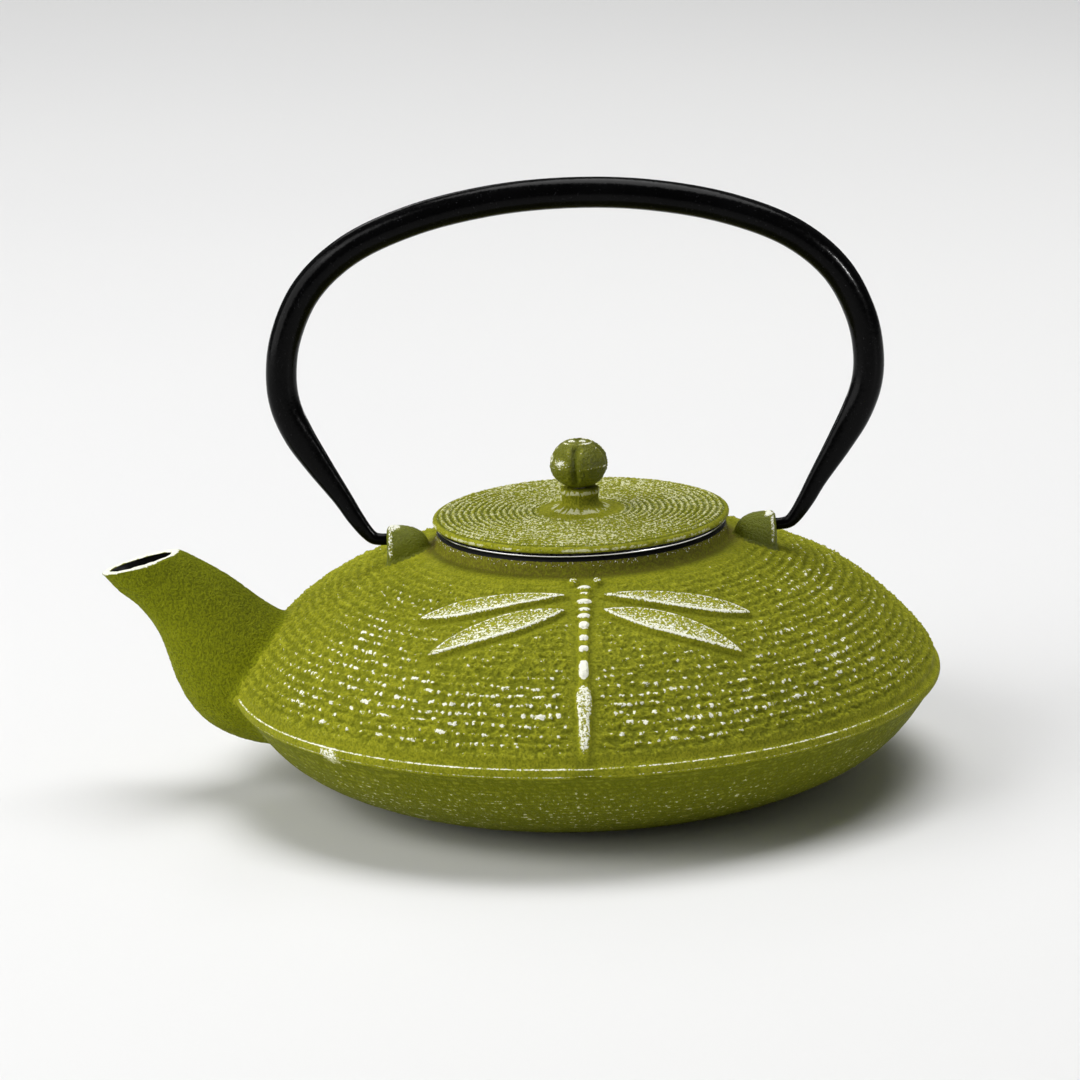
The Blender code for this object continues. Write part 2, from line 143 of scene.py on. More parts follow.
# ---- Pot, (radius, height) ----
COLLAR_OUTLINE = ((33.3, 58.0), (33.3, 64.6), (33.7, 65.45), (34.6, 65.8), (35.5, 65.7), (36.3, 65.3))
SHOULDER_OUTLINE = (
    (36.3, 65.3),
    (36.7, 64.8),
    (36.95, 63.8),
    (37.15, 62.7),
    (37.4, 61.95),
    (38.1, 61.5),
    (40.0, 60.95),
    (42.6, 60.1),
    (46.0, 59.0),
    (54.0, 56.1),
    (61.9, 53.0),
    (68.9, 49.3),
    (75.3, 44.4),
    (80.9, 39.0),
    (85.3, 34.0),
    (87.6, 31.0),
    (88.45, 29.4),
    (88.75, 28.4),
)
RIM_OUTLINE = (
    (88.75, 28.4),
    (89.0, 27.75),
    (89.45, 27.45),
    (89.8, 27.1),
    (89.9, 26.6),
    (89.9, 26.0),
    (89.75, 25.55),
    (89.45, 25.3),
    (89.3, 24.9),
)
BOWL_OUTLINE = (
    (89.35, 25.1),
    (89.0, 24.6),
    (87.6, 23.0),
    (85.6, 20.1),
    (83.1, 16.8),
    (79.8, 13.2),
    (75.1, 9.5),
    (68.6, 5.9),
    (59.9, 2.5),
    (53.0, 0.75),
    (50.0, 0.15),
    (47.0, 0.0),
    (0.5, 0.0),
)
RIM_EDGE = (89.45, 27.45)
BASE_RINGS = ((38.0, 0.0), (25.0, 0.0), (12.0, 0.0), (0.5, 0.0))
INSIDE_OUTLINE = (
    (33.3, 58.5),
    (36.0, 58.8),
    (45.0, 56.0),
    (53.0, 53.2),
    (60.6, 50.2),
    (67.2, 46.6),
    (73.3, 42.0),
    (78.7, 36.8),
    (82.9, 32.0),
    (85.6, 28.2),
    (86.2, 26.0),
    (85.4, 24.2),
    (80.8, 18.7),
    (77.8, 15.6),
    (73.4, 12.2),
    (67.4, 8.9),
    (59.2, 5.7),
    (49.7, 3.2),
    (0.5, 3.2),
)

# ---- Spout: upper end, lower end, half width across ----
SPOUT_SECTIONS = (
    (-102.1, 62.8, -122.1, 57.7, 6.5),
    (-98.0, 60.6, -117.9, 52.8, 7.0),
    (-94.0, 58.1, -113.7, 49.3, 7.8),
    (-89.5, 55.1, -109.9, 44.2, 8.9),
    (-85.5, 51.8, -107.5, 39.0, 10.1),
    (-81.5, 48.5, -106.0, 33.7, 11.4),
    (-76.0, 45.0, -104.5, 28.8, 12.6),
    (-69.0, 41.5, -101.6, 22.9, 13.6),
    (-62.0, 37.0, -96.8, 17.4, 14.2),
    (-56.0, 31.0, -88.3, 13.0, 14.0),
    (-52.0, 25.0, -79.0, 11.0, 13.0),
)
SPOUT_WALL = 2.3
SPOUT_FILLET = 2.6
LIP_RISE = 0.35
SEAM_LAP = 1.2
SEAM_SINK = 0.12
# Where shoulder and bowl can meet the spout: middle and reach of each zone
SPOUT_ROOT = (-92.0, 0.0, 32.0)
SPOUT_REACH = 60.0
BOWL_ROOT = (-95.0, 0.0, 20.0)
BOWL_REACH = 48.0
LIP_ROWS = 10

# ---- Lugs ----
LUG_FACE_X = 49.3
LUG_CENTRE_Z = 58.5
LUG_HALF = (10.8, 6.0, 8.5)
LUG_FILLET = 1.0
LUG_EDGE = 1.55
LUG_FULLNESS = 3.0
LUG_DOME_ROWS = 40
LUG_EDGE_ROWS = 8
LUG_COLUMNS = 96
LUG_ROOT_X = 45.0
LUG_ROOT_Z = 60.0
LUG_REACH = 20.0
PIN_Z = 63.5
# Rings of the blind pin hole: (radius, depth)
PIN_HOLE_RINGS = ((1.85, 0.0), (1.8, 0.1), (1.8, 5.0), (0.05, 5.05))

# ---- Hammered rows on the shoulder, by distance up the slope from the rim's edge ----
ROW_FIRST = 3.13
ROW_PITCH = 2.62
ROW_COUNT = 25
ROW_RADIUS = 87.0
ROW_INWARD = 0.86  # share of the pitch up the slope that goes inwards
# Beads: (spacing along the row, half length, half width)
ROW_BEADS = (1.50, 0.50, 0.52)
FLECK_PITCH = 1.5
FLECK_ROWS = 30
FLECK_BEADS = (1.55, 0.50, 0.40)
PATCH_HALF_TURN = 2.1

# ---- Dragonfly, in plan ----
FLY_PIVOT = (0.0, -50.0)
FLY_TURN = radians(-2.0)
FLY_HEIGHT = 1.25
WING_POINTS = 28
SEGMENT_FULLNESS = 2.6
WINGS = (
    {"root": (3.7, -47.3), "tip": (40.7, -46.8), "half": 3.3, "fullest": 0.68},
    {"root": (4.2, -53.2), "tip": (38.5, -60.9), "half": 3.9, "fullest": 0.42},
)
# The insect's body: (distance in front of the axis, half length, half width)
SEGMENTS = (
    (44.1, 0.75, 2.0),
    (46.6, 0.55, 1.6),
    (49.9, 1.0, 2.2),
    (53.0, 0.75, 1.7),
    (55.6, 1.0, 1.8),
    (59.2, 1.5, 1.4),
    (63.6, 1.1, 1.3),
    (67.0, 1.1, 1.35),
    (72.4, 2.5, 1.35),
    (79.3, 3.6, 2.0),
    (84.2, 4.0, 1.55),
)
TAIL_FROM = 76.0
EYES = ((3.0, -41.2, 1.3), (-2.8, -41.2, 1.3))

# ---- Handle, right half: (x, height, radius) ----
HANDLE_HALF = (
    (44.8, 63.5, 1.5),
    (48.0, 63.5, 1.5),
    (50.6, 63.5, 1.5),
    (52.6, 63.9, 1.6),
    (54.2, 65.3, 1.75),
    (57.0, 69.3, 2.1),
    (60.0, 74.5, 2.4),
    (66.0, 84.0, 3.3),
    (70.3, 91.5, 3.85),
    (73.2, 99.0, 3.9),
    (73.9, 106.5, 3.9),
    (72.3, 116.5, 3.9),
    (66.5, 128.4, 3.9),
    (56.0, 137.9, 3.9),
    (40.0, 144.9, 3.9),
    (20.0, 149.25, 3.9),
    (0.0, 150.55, 3.9),
)

# ---- Lid, knob, rivet ----
LID_TOP_OUTLINE = (
    (4.0, 75.15),
    (4.6, 75.05),
    (4.95, 74.75),
    (5.0, 74.3),
    (4.85, 73.7),
    (4.65, 73.0),
    (4.6, 72.2),
    (4.9, 71.3),
    (5.9, 70.45),
    (7.4, 69.8),
    (8.8, 69.45),
    (9.6, 69.3),
    (12.5, 69.2),
    (24.0, 69.15),
    (33.5, 69.05),
    (35.6, 68.95),
    (36.8, 68.7),
    (37.45, 68.3),
    (37.6, 67.85),
    (37.45, 67.4),
    (37.0, 67.1),
    (36.45, 67.0),
)
LID_UNDER_OUTLINE = (
    (36.45, 67.0),
    (36.35, 66.9),
    (36.3, 66.65),
    (36.0, 66.6),
    (31.4, 66.6),
    (31.05, 66.4),
    (31.0, 66.0),
    (31.0, 61.0),
    (30.6, 60.6),
    (29.2, 60.6),
    (28.8, 61.0),
    (28.8, 66.0),
    (28.4, 66.5),
    (4.0, 66.6),
    (1.8, 66.6),
)
LID_BORE_OUTLINE = ((1.8, 66.6), (1.8, 70.0), (1.8, 75.0), (2.1, 75.15), (4.0, 75.15))
RIVET_OUTLINE = (
    (0.02, 80.8),
    (1.3, 80.8),
    (1.5, 80.6),
    (1.5, 75.0),
    (1.5, 66.6),
    (1.6, 66.32),
    (3.3, 66.3),
    (3.75, 66.1),
    (3.6, 65.6),
    (2.9, 65.15),
    (1.6, 65.0),
    (0.02, 65.0),
)
LID_ROW_PITCH = 1.62
LID_ROW_FIRST = 11.2
LID_ROW_INNER = 9.6  # radius that sets how many beads the innermost row has
LID_ROW_COUNT = 19
LID_BEADS = (0.85, 0.40, 0.29)
KNOB_Z = 81.3
KNOB_RADIUS = 7.4
KNOB_HALF_HEIGHT = 6.4
KNOB_FOOT_Z = 75.5
KNOB_LOBES = 4
KNOB_TURN = radians(-9.0)
KNOB_BORE = ((2.3, 75.5), (1.8, 75.7), (1.8, 81.0))

# ---- Infuser ----
INFUSER_RIM_OUTLINE = ((36.6, 66.45), (36.6, 66.1), (33.0, 66.1), (33.0, 59.5), (32.5, 59.5), (32.5, 66.45))
BOTTOM_BAND_OUTLINE = ((33.0, 27.5), (33.0, 22.6), (30.0, 22.6), (30.0, 23.1), (32.5, 23.1), (32.5, 27.5))
MESH_RADIUS = 31.98
MESH_TOP = 64.5
MESH_LOW = 24.0
MESH_PITCH = 1.25
MESH_UPRIGHTS = 160
WIRE_RADIUS = 0.16
WIRE_SIDES = 5
DISC_RADIUS = 31.2
DISC_Z = 23.45

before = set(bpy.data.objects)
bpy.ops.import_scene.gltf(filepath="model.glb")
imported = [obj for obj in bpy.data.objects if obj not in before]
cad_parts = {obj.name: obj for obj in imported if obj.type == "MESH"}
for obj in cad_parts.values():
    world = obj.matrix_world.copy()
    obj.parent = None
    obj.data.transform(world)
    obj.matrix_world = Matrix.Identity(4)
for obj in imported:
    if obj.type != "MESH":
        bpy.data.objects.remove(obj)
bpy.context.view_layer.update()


# ======================================================================== numbers
def smoothstep(low, high, value):
    share = np.clip((value - low) / (high - low), 0.0, 1.0)
    return share * share * (3.0 - 2.0 * share)


def hump(value, centre, width, power=2):
    """1 at the centre, falling off smoothly over the width on both sides."""
    return np.exp(-(((value - centre) / width) ** power))


def highest(*fields):
    return np.maximum.reduce(fields)


def degrees_round(turn):
    """Degrees from the front, positive to the right, from a turn of 0 to 1 that starts at the back."""
    return (turn - 0.5) * 360


def distance_along(profile):
    """Distance from a profile's first point to each of its points."""
    return np.r_[0, np.cumsum(np.linalg.norm(np.diff(profile, axis=0), axis=1))]


def curve_through(points, step):
    """Points at an even step along a smooth centripetal curve through the given points."""
    p = np.array(points, float)
    ext = np.vstack([2 * p[0] - p[1], p, 2 * p[-1] - p[-2]])
    dense = []
    for i in range(len(p) - 1):
        p0, p1, p2, p3 = ext[i : i + 4]
        t1 = max(np.linalg.norm(p1[:2] - p0[:2]), TINY) ** 0.5
        t2 = t1 + max(np.linalg.norm(p2[:2] - p1[:2]), TINY) ** 0.5
        t3 = t2 + max(np.linalg.norm(p3[:2] - p2[:2]), TINY) ** 0.5
        t = np.linspace(t1, t2, CURVE_SAMPLES, endpoint=i == len(p) - 2)[:, None]
        a1 = (t1 - t) / t1 * p0 + t / t1 * p1
        a2 = (t2 - t) / (t2 - t1) * p1 + (t - t1) / (t2 - t1) * p2
        a3 = (t3 - t) / (t3 - t2) * p2 + (t - t2) / (t3 - t2) * p3
        b1 = (t2 - t) / t2 * a1 + t / t2 * a2
        b2 = (t3 - t) / (t3 - t1) * a2 + (t - t1) / (t3 - t1) * a3
        dense.append((t2 - t) / (t2 - t1) * b1 + (t - t1) / (t2 - t1) * b2)
    dense = np.vstack(dense)
    along = distance_along(dense[:, :2])
    count = max(4, int(round(along[-1] / step)))
    at = np.linspace(0, along[-1], count + 1)
    return np.stack([np.interp(at, along, dense[:, k]) for k in range(dense.shape[1])], -1)


def slopes(points):
    """Unit outward normals of a profile that runs down its outer side."""
    d = np.gradient(points[:, :2], axis=0)
    d /= np.linalg.norm(d, axis=1)[:, None]
    return np.stack([-d[:, 1], d[:, 0]], -1)


class Noise:
    """Smooth random values on a lattice that closes on itself along u."""

    def __init__(self, rng, cells_u, cells_v):
        self.table = rng.random((cells_v + 2, cells_u))
        self.cells_u = cells_u
        self.cells_v = cells_v

    def __call__(self, u, v):
        """u runs from 0 to 1 once round, v from 0 to cells_v."""
        x = (u % 1.0) * self.cells_u
        xi = np.floor(x).astype(int)
        y = np.clip(v, 0, self.cells_v)
        yi = np.floor(y).astype(int)
        fx = smoothstep(0.0, 1.0, x - xi)
        fy = smoothstep(0.0, 1.0, y - yi)
        x0 = xi % self.cells_u
        x1 = (xi + 1) % self.cells_u
        t = self.table
        low = t[yi, x0] * (1 - fx) + t[yi, x1] * fx
        high = t[yi + 1, x0] * (1 - fx) + t[yi + 1, x1] * fx
        return low * (1 - fy) + high * fy


def round_noise(rng, cells, turn):
    """Smooth random values that vary only round the axis."""
    return Noise(rng, cells, 1)(turn, 0 * turn)


# ======================================================================== meshes
def mesh_object(name, points, faces, material, attributes=None):
    """A smooth object from points in mm, an array of quads and values for the paint at each point."""
    mesh = bpy.data.meshes.new(name)
    points = np.asarray(points, float) * MM
    mesh.vertices.add(len(points))
    mesh.vertices.foreach_set("co", points.astype(np.float32).ravel())
    mesh.loops.add(faces.size)
    mesh.loops.foreach_set("vertex_index", faces.astype(np.int32).ravel())
    mesh.polygons.add(len(faces))
    mesh.polygons.foreach_set("loop_start", np.arange(0, faces.size, faces.shape[1], dtype=np.int32))
    mesh.update(calc_edges=True)
    mesh.polygons.foreach_set("use_smooth", np.full(len(mesh.polygons), True))
    for label, values in (attributes or {}).items():
        layer = mesh.attributes.new(label, "FLOAT", "POINT")
        layer.data.foreach_set("value", np.asarray(values, np.float32).ravel())
    mesh.validate()
    obj = bpy.data.objects.new(name, mesh)
    bpy.context.scene.collection.objects.link(obj)
    obj.data.materials.append(material)
    return obj


def face_outwards(obj, weld=0.0):
    """Turns all faces outwards, after joining points closer than the weld distance in metres."""
    shape = bmesh.new()
    shape.from_mesh(obj.data)
    if weld:
        bmesh.ops.remove_doubles(shape, verts=shape.verts, dist=weld)
    bmesh.ops.recalc_face_normals(shape, faces=shape.faces)
    shape.to_mesh(obj.data)
    shape.free()


def grid_faces(rows, columns):
    """Quads of a grid, row by row, closed round the columns."""
    r = np.arange(rows - 1)[:, None]
    c = np.arange(columns)[None, :]
    n = (c + 1) % columns
    a = r * columns + c
    b = r * columns + n
    d = (r + 1) * columns + c
    e = (r + 1) * columns + n
    return np.stack([a, d, e, b], -1).reshape(-1, 4)


def keep_faces(points, faces, keep, attributes):
    """Only the faces whose corners are all kept, and the points that they use."""
    faces = faces[keep[faces].all(1)]
    used = np.unique(faces)
    index = np.full(len(points), -1)
    index[used] = np.arange(len(used))
    kept = {label: values[used] for label, values in attributes.items()}
    return points[used], index[faces], kept


def turned_grid(profile, columns):
    """Rows of points: a profile (radius, height) turned round the axis, starting at the back."""
    theta = np.linspace(-pi, pi, columns, endpoint=False)[None, :]
    r = profile[:, 0][:, None]
    z = profile[:, 1][:, None]
    return np.stack([r * np.sin(theta), -r * np.cos(theta), z + 0 * theta], -1)


def turned_surface(profile, columns):
    """A turned profile as a list of points, with each point's normal and its turn from 0 to 1."""
    points = turned_grid(profile, columns).reshape(-1, 3)
    normals = turned_grid(slopes(profile), columns).reshape(-1, 3)
    turn = np.tile(np.arange(columns) / columns, len(profile))
    return points, normals, turn


def turned_object(name, outline, step, columns, material):
    profile = curve_through(outline, step)
    points = turned_grid(profile, columns).reshape(-1, 3)
    return mesh_object(name, points, grid_faces(len(profile), columns), material)


def rounded_corners(outline, size):
    """A closed outline whose corners are replaced by short curves."""
    p = np.array(outline, float)
    made = []
    for i in range(len(p)):
        before = p[i - 1] - p[i]
        after = p[(i + 1) % len(p)] - p[i]
        before = before / np.linalg.norm(before) * size
        after = after / np.linalg.norm(after) * size
        for share in np.linspace(0, 1, CORNER_POINTS):
            made.append(p[i] + before * (1 - share) ** 2 + after * share**2)
    made.append(made[0])
    return np.array(made)


def closed_ring(name, outline, material):
    """A ring from a closed outline, in the order down the outer side and up the inner."""
    profile = rounded_corners(outline, CORNER_SIZE)
    points = turned_grid(profile, RING_STEPS).reshape(-1, 3)
    obj = mesh_object(name, points, grid_faces(len(profile), RING_STEPS), material)
    face_outwards(obj, WELD)
    obj.data.set_sharp_from_angle(angle=SHARP_ANGLE)
    return obj


# ======================================================================== blends
def tree_of(points, faces):
    """A search tree over faces, all turned to face away from their middle."""
    corners = points[faces[:, :3]] - points.mean(0)
    if np.linalg.det(corners).sum() < 0:
        faces = faces[:, ::-1]
    return BVHTree.FromPolygons(points.tolist(), faces.tolist(), epsilon=0.0)


def signed_distance(tree, points):
    """Distance from each point to a surface, negative behind it."""
    out = np.empty(len(points))
    for i, p in enumerate(points):
        where, normal, _, gap = tree.find_nearest(p)
        away = Vector(p) - where
        out[i] = gap if away.dot(normal) >= 0 else -gap
    return out


def smooth_union(a, b, size):
    mix = np.clip(1 - np.abs(a - b) / size, 0, 1)
    return np.minimum(a, b) - size / 4 * mix * mix


def pull_to_blend(points, normals, own, other, size):
    """Points moved along their normals on to the smooth union of both surfaces.

    Also how far each was from the other surface, and how far each now lies past the seam.
    """
    gap = signed_distance(other, points)
    index = np.where(np.abs(gap) < size * 1.6)[0]
    low = np.zeros(len(index))
    high = np.full(len(index), size * 0.75)
    for _ in range(BLEND_HALVINGS):
        middle = (low + high) / 2
        trial = points[index] + normals[index] * middle[:, None]
        outside = smooth_union(signed_distance(own, trial), signed_distance(other, trial), size) > 0
        high = np.where(outside, middle, high)
        low = np.where(outside, low, middle)
    moved = points.copy()
    moved[index] += normals[index] * ((low + high) / 2)[:, None]
    past_seam = -gap
    past_seam[index] = signed_distance(own, moved[index]) - signed_distance(other, moved[index])
    return moved, gap, past_seam


def blended(points, normals, chosen, own, other, size):
    """pull_to_blend for the chosen points only; the others count as far from the other surface."""
    shape = points.copy()
    away = np.full(len(points), FAR)
    past_seam = np.full(len(points), -FAR)
    result = pull_to_blend(points[chosen], normals[chosen], own, other, size)
    shape[chosen], away[chosen], past_seam[chosen] = result
    return shape, away, past_seam


def seam_sink(past_seam):
    """How far a surface sinks under its neighbour where they overlap."""
    return SEAM_SINK * smoothstep(0.0, SEAM_LAP, past_seam)


# ======================================================================== spout shape
def spout_sections(step):
    """Finely spaced sections from the root to the tip: upper end, lower end and half width."""
    ends = np.array(SPOUT_SECTIONS[::-1], float)
    middle = np.stack([(ends[:, 0] + ends[:, 2]) / 2, (ends[:, 1] + ends[:, 3]) / 2], -1)
    return curve_through(np.hstack([middle, ends]), step)[:, 2:]


def spout_points(sections, turns, shrink=0.0):
    """Oval rings for each section, pulled in by shrink."""
    upper = sections[:, 0:2]
    lower = sections[:, 2:4]
    centre = (upper + lower) / 2
    half = (upper - lower) / 2
    length = np.linalg.norm(half, axis=1)
    shrink = np.broadcast_to(shrink, length.shape)
    half = half * ((length - shrink) / length)[:, None]
    across = sections[:, 4] - shrink
    x = centre[:, 0:1] + half[:, 0:1] * np.cos(turns)
    z = centre[:, 1:2] + half[:, 1:2] * np.cos(turns)
    y = across[:, None] * np.sin(turns)
    return np.stack([x, y, z], -1)


# ======================================================================== materials
def node_material(name):
    material = bpy.data.materials.new(name)
    material.use_nodes = True
    tree = material.node_tree
    return material, tree, tree.nodes["Principled BSDF"]


def feed(tree, socket, value):
    """Links a socket to another node's output, or sets it to a number or a colour."""
    if isinstance(value, bpy.types.NodeSocket):
        tree.links.new(value, socket)
    elif socket.type == "RGBA":
        socket.default_value = (*value, 1.0)
    else:
        socket.default_value = value


def add_node(tree, kind, inputs=None, **settings):
    node = tree.nodes.new(kind)
    for key, value in settings.items():
        setattr(node, key, value)
    for key, value in (inputs or {}).items():
        feed(tree, node.inputs[key], value)
    return node


def attribute(tree, name):
    return add_node(tree, "ShaderNodeAttribute", attribute_name=name).outputs["Fac"]


def place(tree):
    return add_node(tree, "ShaderNodeTexCoord").outputs["Object"]


def noise(tree, vector, scale, detail=2.0, roughness=0.5):
    inputs = {"Vector": vector, "Scale": scale, "Detail": detail, "Roughness": roughness}
    return add_node(tree, "ShaderNodeTexNoise", inputs).outputs["Fac"]


def maths(tree, operation, first, second=0.0, third=0.0):
    node = add_node(tree, "ShaderNodeMath", operation=operation)
    for socket, value in zip(node.inputs, (first, second, third)):
        feed(tree, socket, value)
    return node.outputs[0]


def ramp(tree, value, low, high, to_low=0.0, to_high=1.0):
    inputs = {"Value": value, "From Min": low, "From Max": high, "To Min": to_low, "To Max": to_high}
    node = add_node(tree, "ShaderNodeMapRange", inputs, interpolation_type="SMOOTHSTEP")
    return node.outputs["Result"]


def mix_colour(tree, share, first, second):
    node = add_node(tree, "ShaderNodeMix", data_type="RGBA")
    for socket, value in zip(MIX_SOCKETS, (share, first, second)):
        feed(tree, node.inputs[socket], value)
    return node.outputs[MIX_RESULT]


def link(tree, output, shader, socket):
    tree.links.new(output, shader.inputs[socket])


def finish_surface(tree, shader, colour, rough, specular=None):
    link(tree, colour, shader, "Base Color")
    link(tree, rough, shader, "Roughness")
    if specular is not None:
        shader.inputs["Specular IOR Level"].default_value = specular


def add_bump(tree, shader, height, distance, strength):
    inputs = {"Height": height, "Distance": distance, "Strength": strength}
    node = add_node(tree, "ShaderNodeBump", inputs)
    link(tree, node.outputs["Normal"], shader, "Normal")


def iron_paint(
    piece,
    base=GREEN,
    light=GREEN_LIGHT,
    white_paint=WORN_WHITE,
    speckle=0.0,
    grain=0.0007,
    mottle=0.5,
    gloss=0.06,
    rough_from=0.60,
):
    """Matt paint on cast iron. The points' attributes say where it is high, worn or enamelled, and where
    painted shade, a darker tone, or brown grime with painted shade goes.
    """
    material, tree, shader = node_material(f"green_{piece}_paint")
    spot = place(tree)
    high = attribute(tree, "high")
    worn = attribute(tree, "worn")
    shade_and_tone = attribute(tree, "shade_and_tone")
    dirt_and_shade = attribute(tree, "dirt_and_shade")
    enamel = attribute(tree, "enamel")

    broad = noise(tree, spot, 26.0, 3.0)
    middling = noise(tree, spot, 240.0, 3.0, 0.6)
    fine = noise(tree, spot, 1500.0, 2.0, 0.6)
    pits = noise(tree, spot, 1700.0, 1.0, 0.5)
    finest = noise(tree, spot, 3000.0, 1.0, 0.5)

    colour = mix_colour(tree, ramp(tree, broad, 0.35, 0.68), base, light)
    colour = mix_colour(tree, ramp(tree, middling, 0.42, 0.75, 0.0, 0.30), colour, GREEN_DEEP)
    colour = mix_colour(tree, ramp(tree, high, 0.10, 0.55, 0.0, 0.55), colour, GREEN_TIP)
    colour = mix_colour(tree, ramp(tree, pits, 0.54, 0.38, 0.0, mottle), colour, GREEN_DEEP)
    colour = mix_colour(tree, ramp(tree, pits, 0.54, 0.68, 0.0, 0.45), colour, light)
    # Painted shade: darker green in grooves, creases, under the lid and over the bowl, and an even darker
    # tone on some pieces
    colour = mix_colour(tree, maths(tree, "MULTIPLY", shade_and_tone, 0.75), colour, GREEN_DEEP)
    # Grime and painted shade: the brown laid on where the dirt_and_shade attribute says
    grime_and_shade = maths(tree, "MULTIPLY", dirt_and_shade, ramp(tree, fine, 0.36, 0.58, 0.25, 1.0))
    colour = mix_colour(tree, grime_and_shade, colour, GRIME_AND_SHADE)

    # White paint caught by the high points: the higher and the more worn, the more of it
    edge = maths(tree, "MULTIPLY_ADD", fine, 1.3, -0.65)
    edge = maths(tree, "ADD", edge, maths(tree, "MULTIPLY_ADD", finest, 0.4, -0.2))
    reach = maths(tree, "ADD", maths(tree, "MULTIPLY", high, worn), edge)
    white = ramp(tree, reach, 0.50, 0.56)
    if speckle:
        dots = maths(tree, "ADD", fine, maths(tree, "MULTIPLY", worn, 0.12))
        dots = maths(tree, "MULTIPLY", ramp(tree, dots, 0.66, 0.72), speckle)
        white = maths(tree, "MAXIMUM", white, dots)
    white = maths(tree, "MULTIPLY", white, ramp(tree, worn, 0.02, 0.12))
    colour = mix_colour(tree, white, colour, white_paint)

    # Black enamel inside and over the collar's top
    enamel_edge = maths(tree, "ADD", enamel, maths(tree, "MULTIPLY_ADD", fine, 0.3, -0.15))
    enamel_share = ramp(tree, enamel_edge, 0.45, 0.55)
    colour = mix_colour(tree, enamel_share, colour, ENAMEL_BLACK)

    rough = ramp(tree, middling, 0.3, 0.7, rough_from, rough_from + 0.14)
    rough = maths(tree, "MULTIPLY_ADD", white, 0.05, rough)
    rough = maths(tree, "MULTIPLY", rough, ramp(tree, enamel_share, 0.0, 1.0, 1.0, 0.45))
    finish_surface(tree, shader, colour, rough, gloss)

    relief = maths(tree, "ADD", maths(tree, "MULTIPLY", pits, 0.60), maths(tree, "MULTIPLY", finest, 0.40))
    relief = maths(tree, "MULTIPLY", relief, ramp(tree, enamel_share, 0.0, 1.0, 1.0, 0.15))
    add_bump(tree, shader, relief, grain, 0.9)
    return material


def black_enamel():
    material, tree, shader = node_material("black_enamel")
    spot = place(tree)
    patches = noise(tree, spot, 70.0, 3.0)
    grain = noise(tree, spot, 1200.0, 2.0, 0.6)
    colour = mix_colour(tree, ramp(tree, patches, 0.4, 0.7), *ENAMEL_TONES)
    finish_surface(tree, shader, colour, ramp(tree, grain, 0.3, 0.7, 0.22, 0.36))
    add_bump(tree, shader, grain, 0.00008, 0.5)
    return material


def powder_coat():
    """Satin black powder coat with a fine orange peel."""
    material, tree, shader = node_material("powder_coat")
    spot = place(tree)
    patches = noise(tree, spot, 60.0, 3.0)
    peel = noise(tree, spot, 900.0, 2.0, 0.5)
    dust = noise(tree, spot, 2200.0, 1.0, 0.5)
    colour = mix_colour(tree, ramp(tree, patches, 0.4, 0.7), *COAT_TONES)
    colour = mix_colour(tree, ramp(tree, dust, 0.70, 0.76, 0.0, 0.5), colour, COAT_DUST)
    finish_surface(tree, shader, colour, ramp(tree, peel, 0.3, 0.7, 0.15, 0.23), 0.075)
    add_bump(tree, shader, peel, 0.00010, 0.45)
    return material


def steel(name):
    """Stainless steel turned on its axis, so its fine lines run round."""
    tone, rough = STEELS[name]
    material, tree, shader = node_material(name)
    spot = place(tree)
    scaled = add_node(tree, "ShaderNodeMapping", {"Vector": spot, "Scale": TURNED_LINES})
    lines = noise(tree, scaled.outputs["Vector"], 1.0, 3.0, 0.6)
    stains = noise(tree, spot, 160.0, 3.0)
    low = tuple(channel * 0.82 for channel in tone)
    colour = mix_colour(tree, ramp(tree, lines, 0.35, 0.65), low, tone)
    colour = mix_colour(tree, ramp(tree, stains, 0.55, 0.8, 0.0, 0.25), colour, STEEL_STAIN)
    finish_surface(tree, shader, colour, ramp(tree, lines, 0.3, 0.7, rough, rough + 0.12))
    shader.inputs["Metallic"].default_value = 1.0
    add_bump(tree, shader, lines, 0.00002, 0.5)
    return material


def floor_material():
    material, tree, shader = node_material("studio_floor")
    spot = place(tree)
    cloud = noise(tree, spot, 1.3, 2.0)
    tooth = noise(tree, spot, 900.0, 2.0)
    colour = mix_colour(tree, ramp(tree, cloud, 0.3, 0.7), *FLOOR_TONES)
    finish_surface(tree, shader, colour, ramp(tree, tooth, 0.3, 0.7, 0.55, 0.62), 0.2)
    return material


# ======================================================================== pot
def shoulder_profile():
    return curve_through(SHOULDER_OUTLINE, SHOULDER_STEP)


def outline_distance(points, outline):
    """Signed distance in plan from points to a closed outline, positive inside."""
    best = np.full(len(points), 1e9)
    inside = np.zeros(len(points), bool)
    for a, b in zip(outline, np.roll(outline, -1, axis=0)):
        edge = b - a
        share = np.clip(((points - a) @ edge) / (edge @ edge), 0, 1)
        best = np.minimum(best, np.linalg.norm(points - (a + share[:, None] * edge), axis=1))
        crosses = (a[1] > points[:, 1]) != (b[1] > points[:, 1])
        with np.errstate(divide="ignore", invalid="ignore"):
            reach = a[0] + (points[:, 1] - a[1]) * edge[0] / edge[1]
        inside ^= crosses & (points[:, 0] < reach)
    return np.where(inside, best, -best)


def wing_ends(wing, side):
    """A wing's root and tip in plan, on the left (-1) or the right (1)."""
    mirror = np.array([side, 1.0])
    return mirror * wing["root"], mirror * wing["tip"]


def wing_outline(wing, side):
    """A leaf from root to tip whose width peaks at the share of its length called fullest."""
    root, tip = wing_ends(wing, side)
    along = tip - root
    across = np.array([-along[1], along[0]]) / np.linalg.norm(along)
    share = np.linspace(0, 1, WING_POINTS)
    full = wing["fullest"]
    rise = np.sin(pi / 2 * share / full)
    fall = np.cos(pi / 2 * np.clip((share - full) / (1 - full), 0, 1))
    width = wing["half"] * np.where(share < full, rise, fall) ** 0.8
    middle = root + along * share[:, None]
    upper = middle + across * width[:, None]
    lower = middle - across * width[:, None]
    return np.vstack([upper, lower[-2:0:-1]])


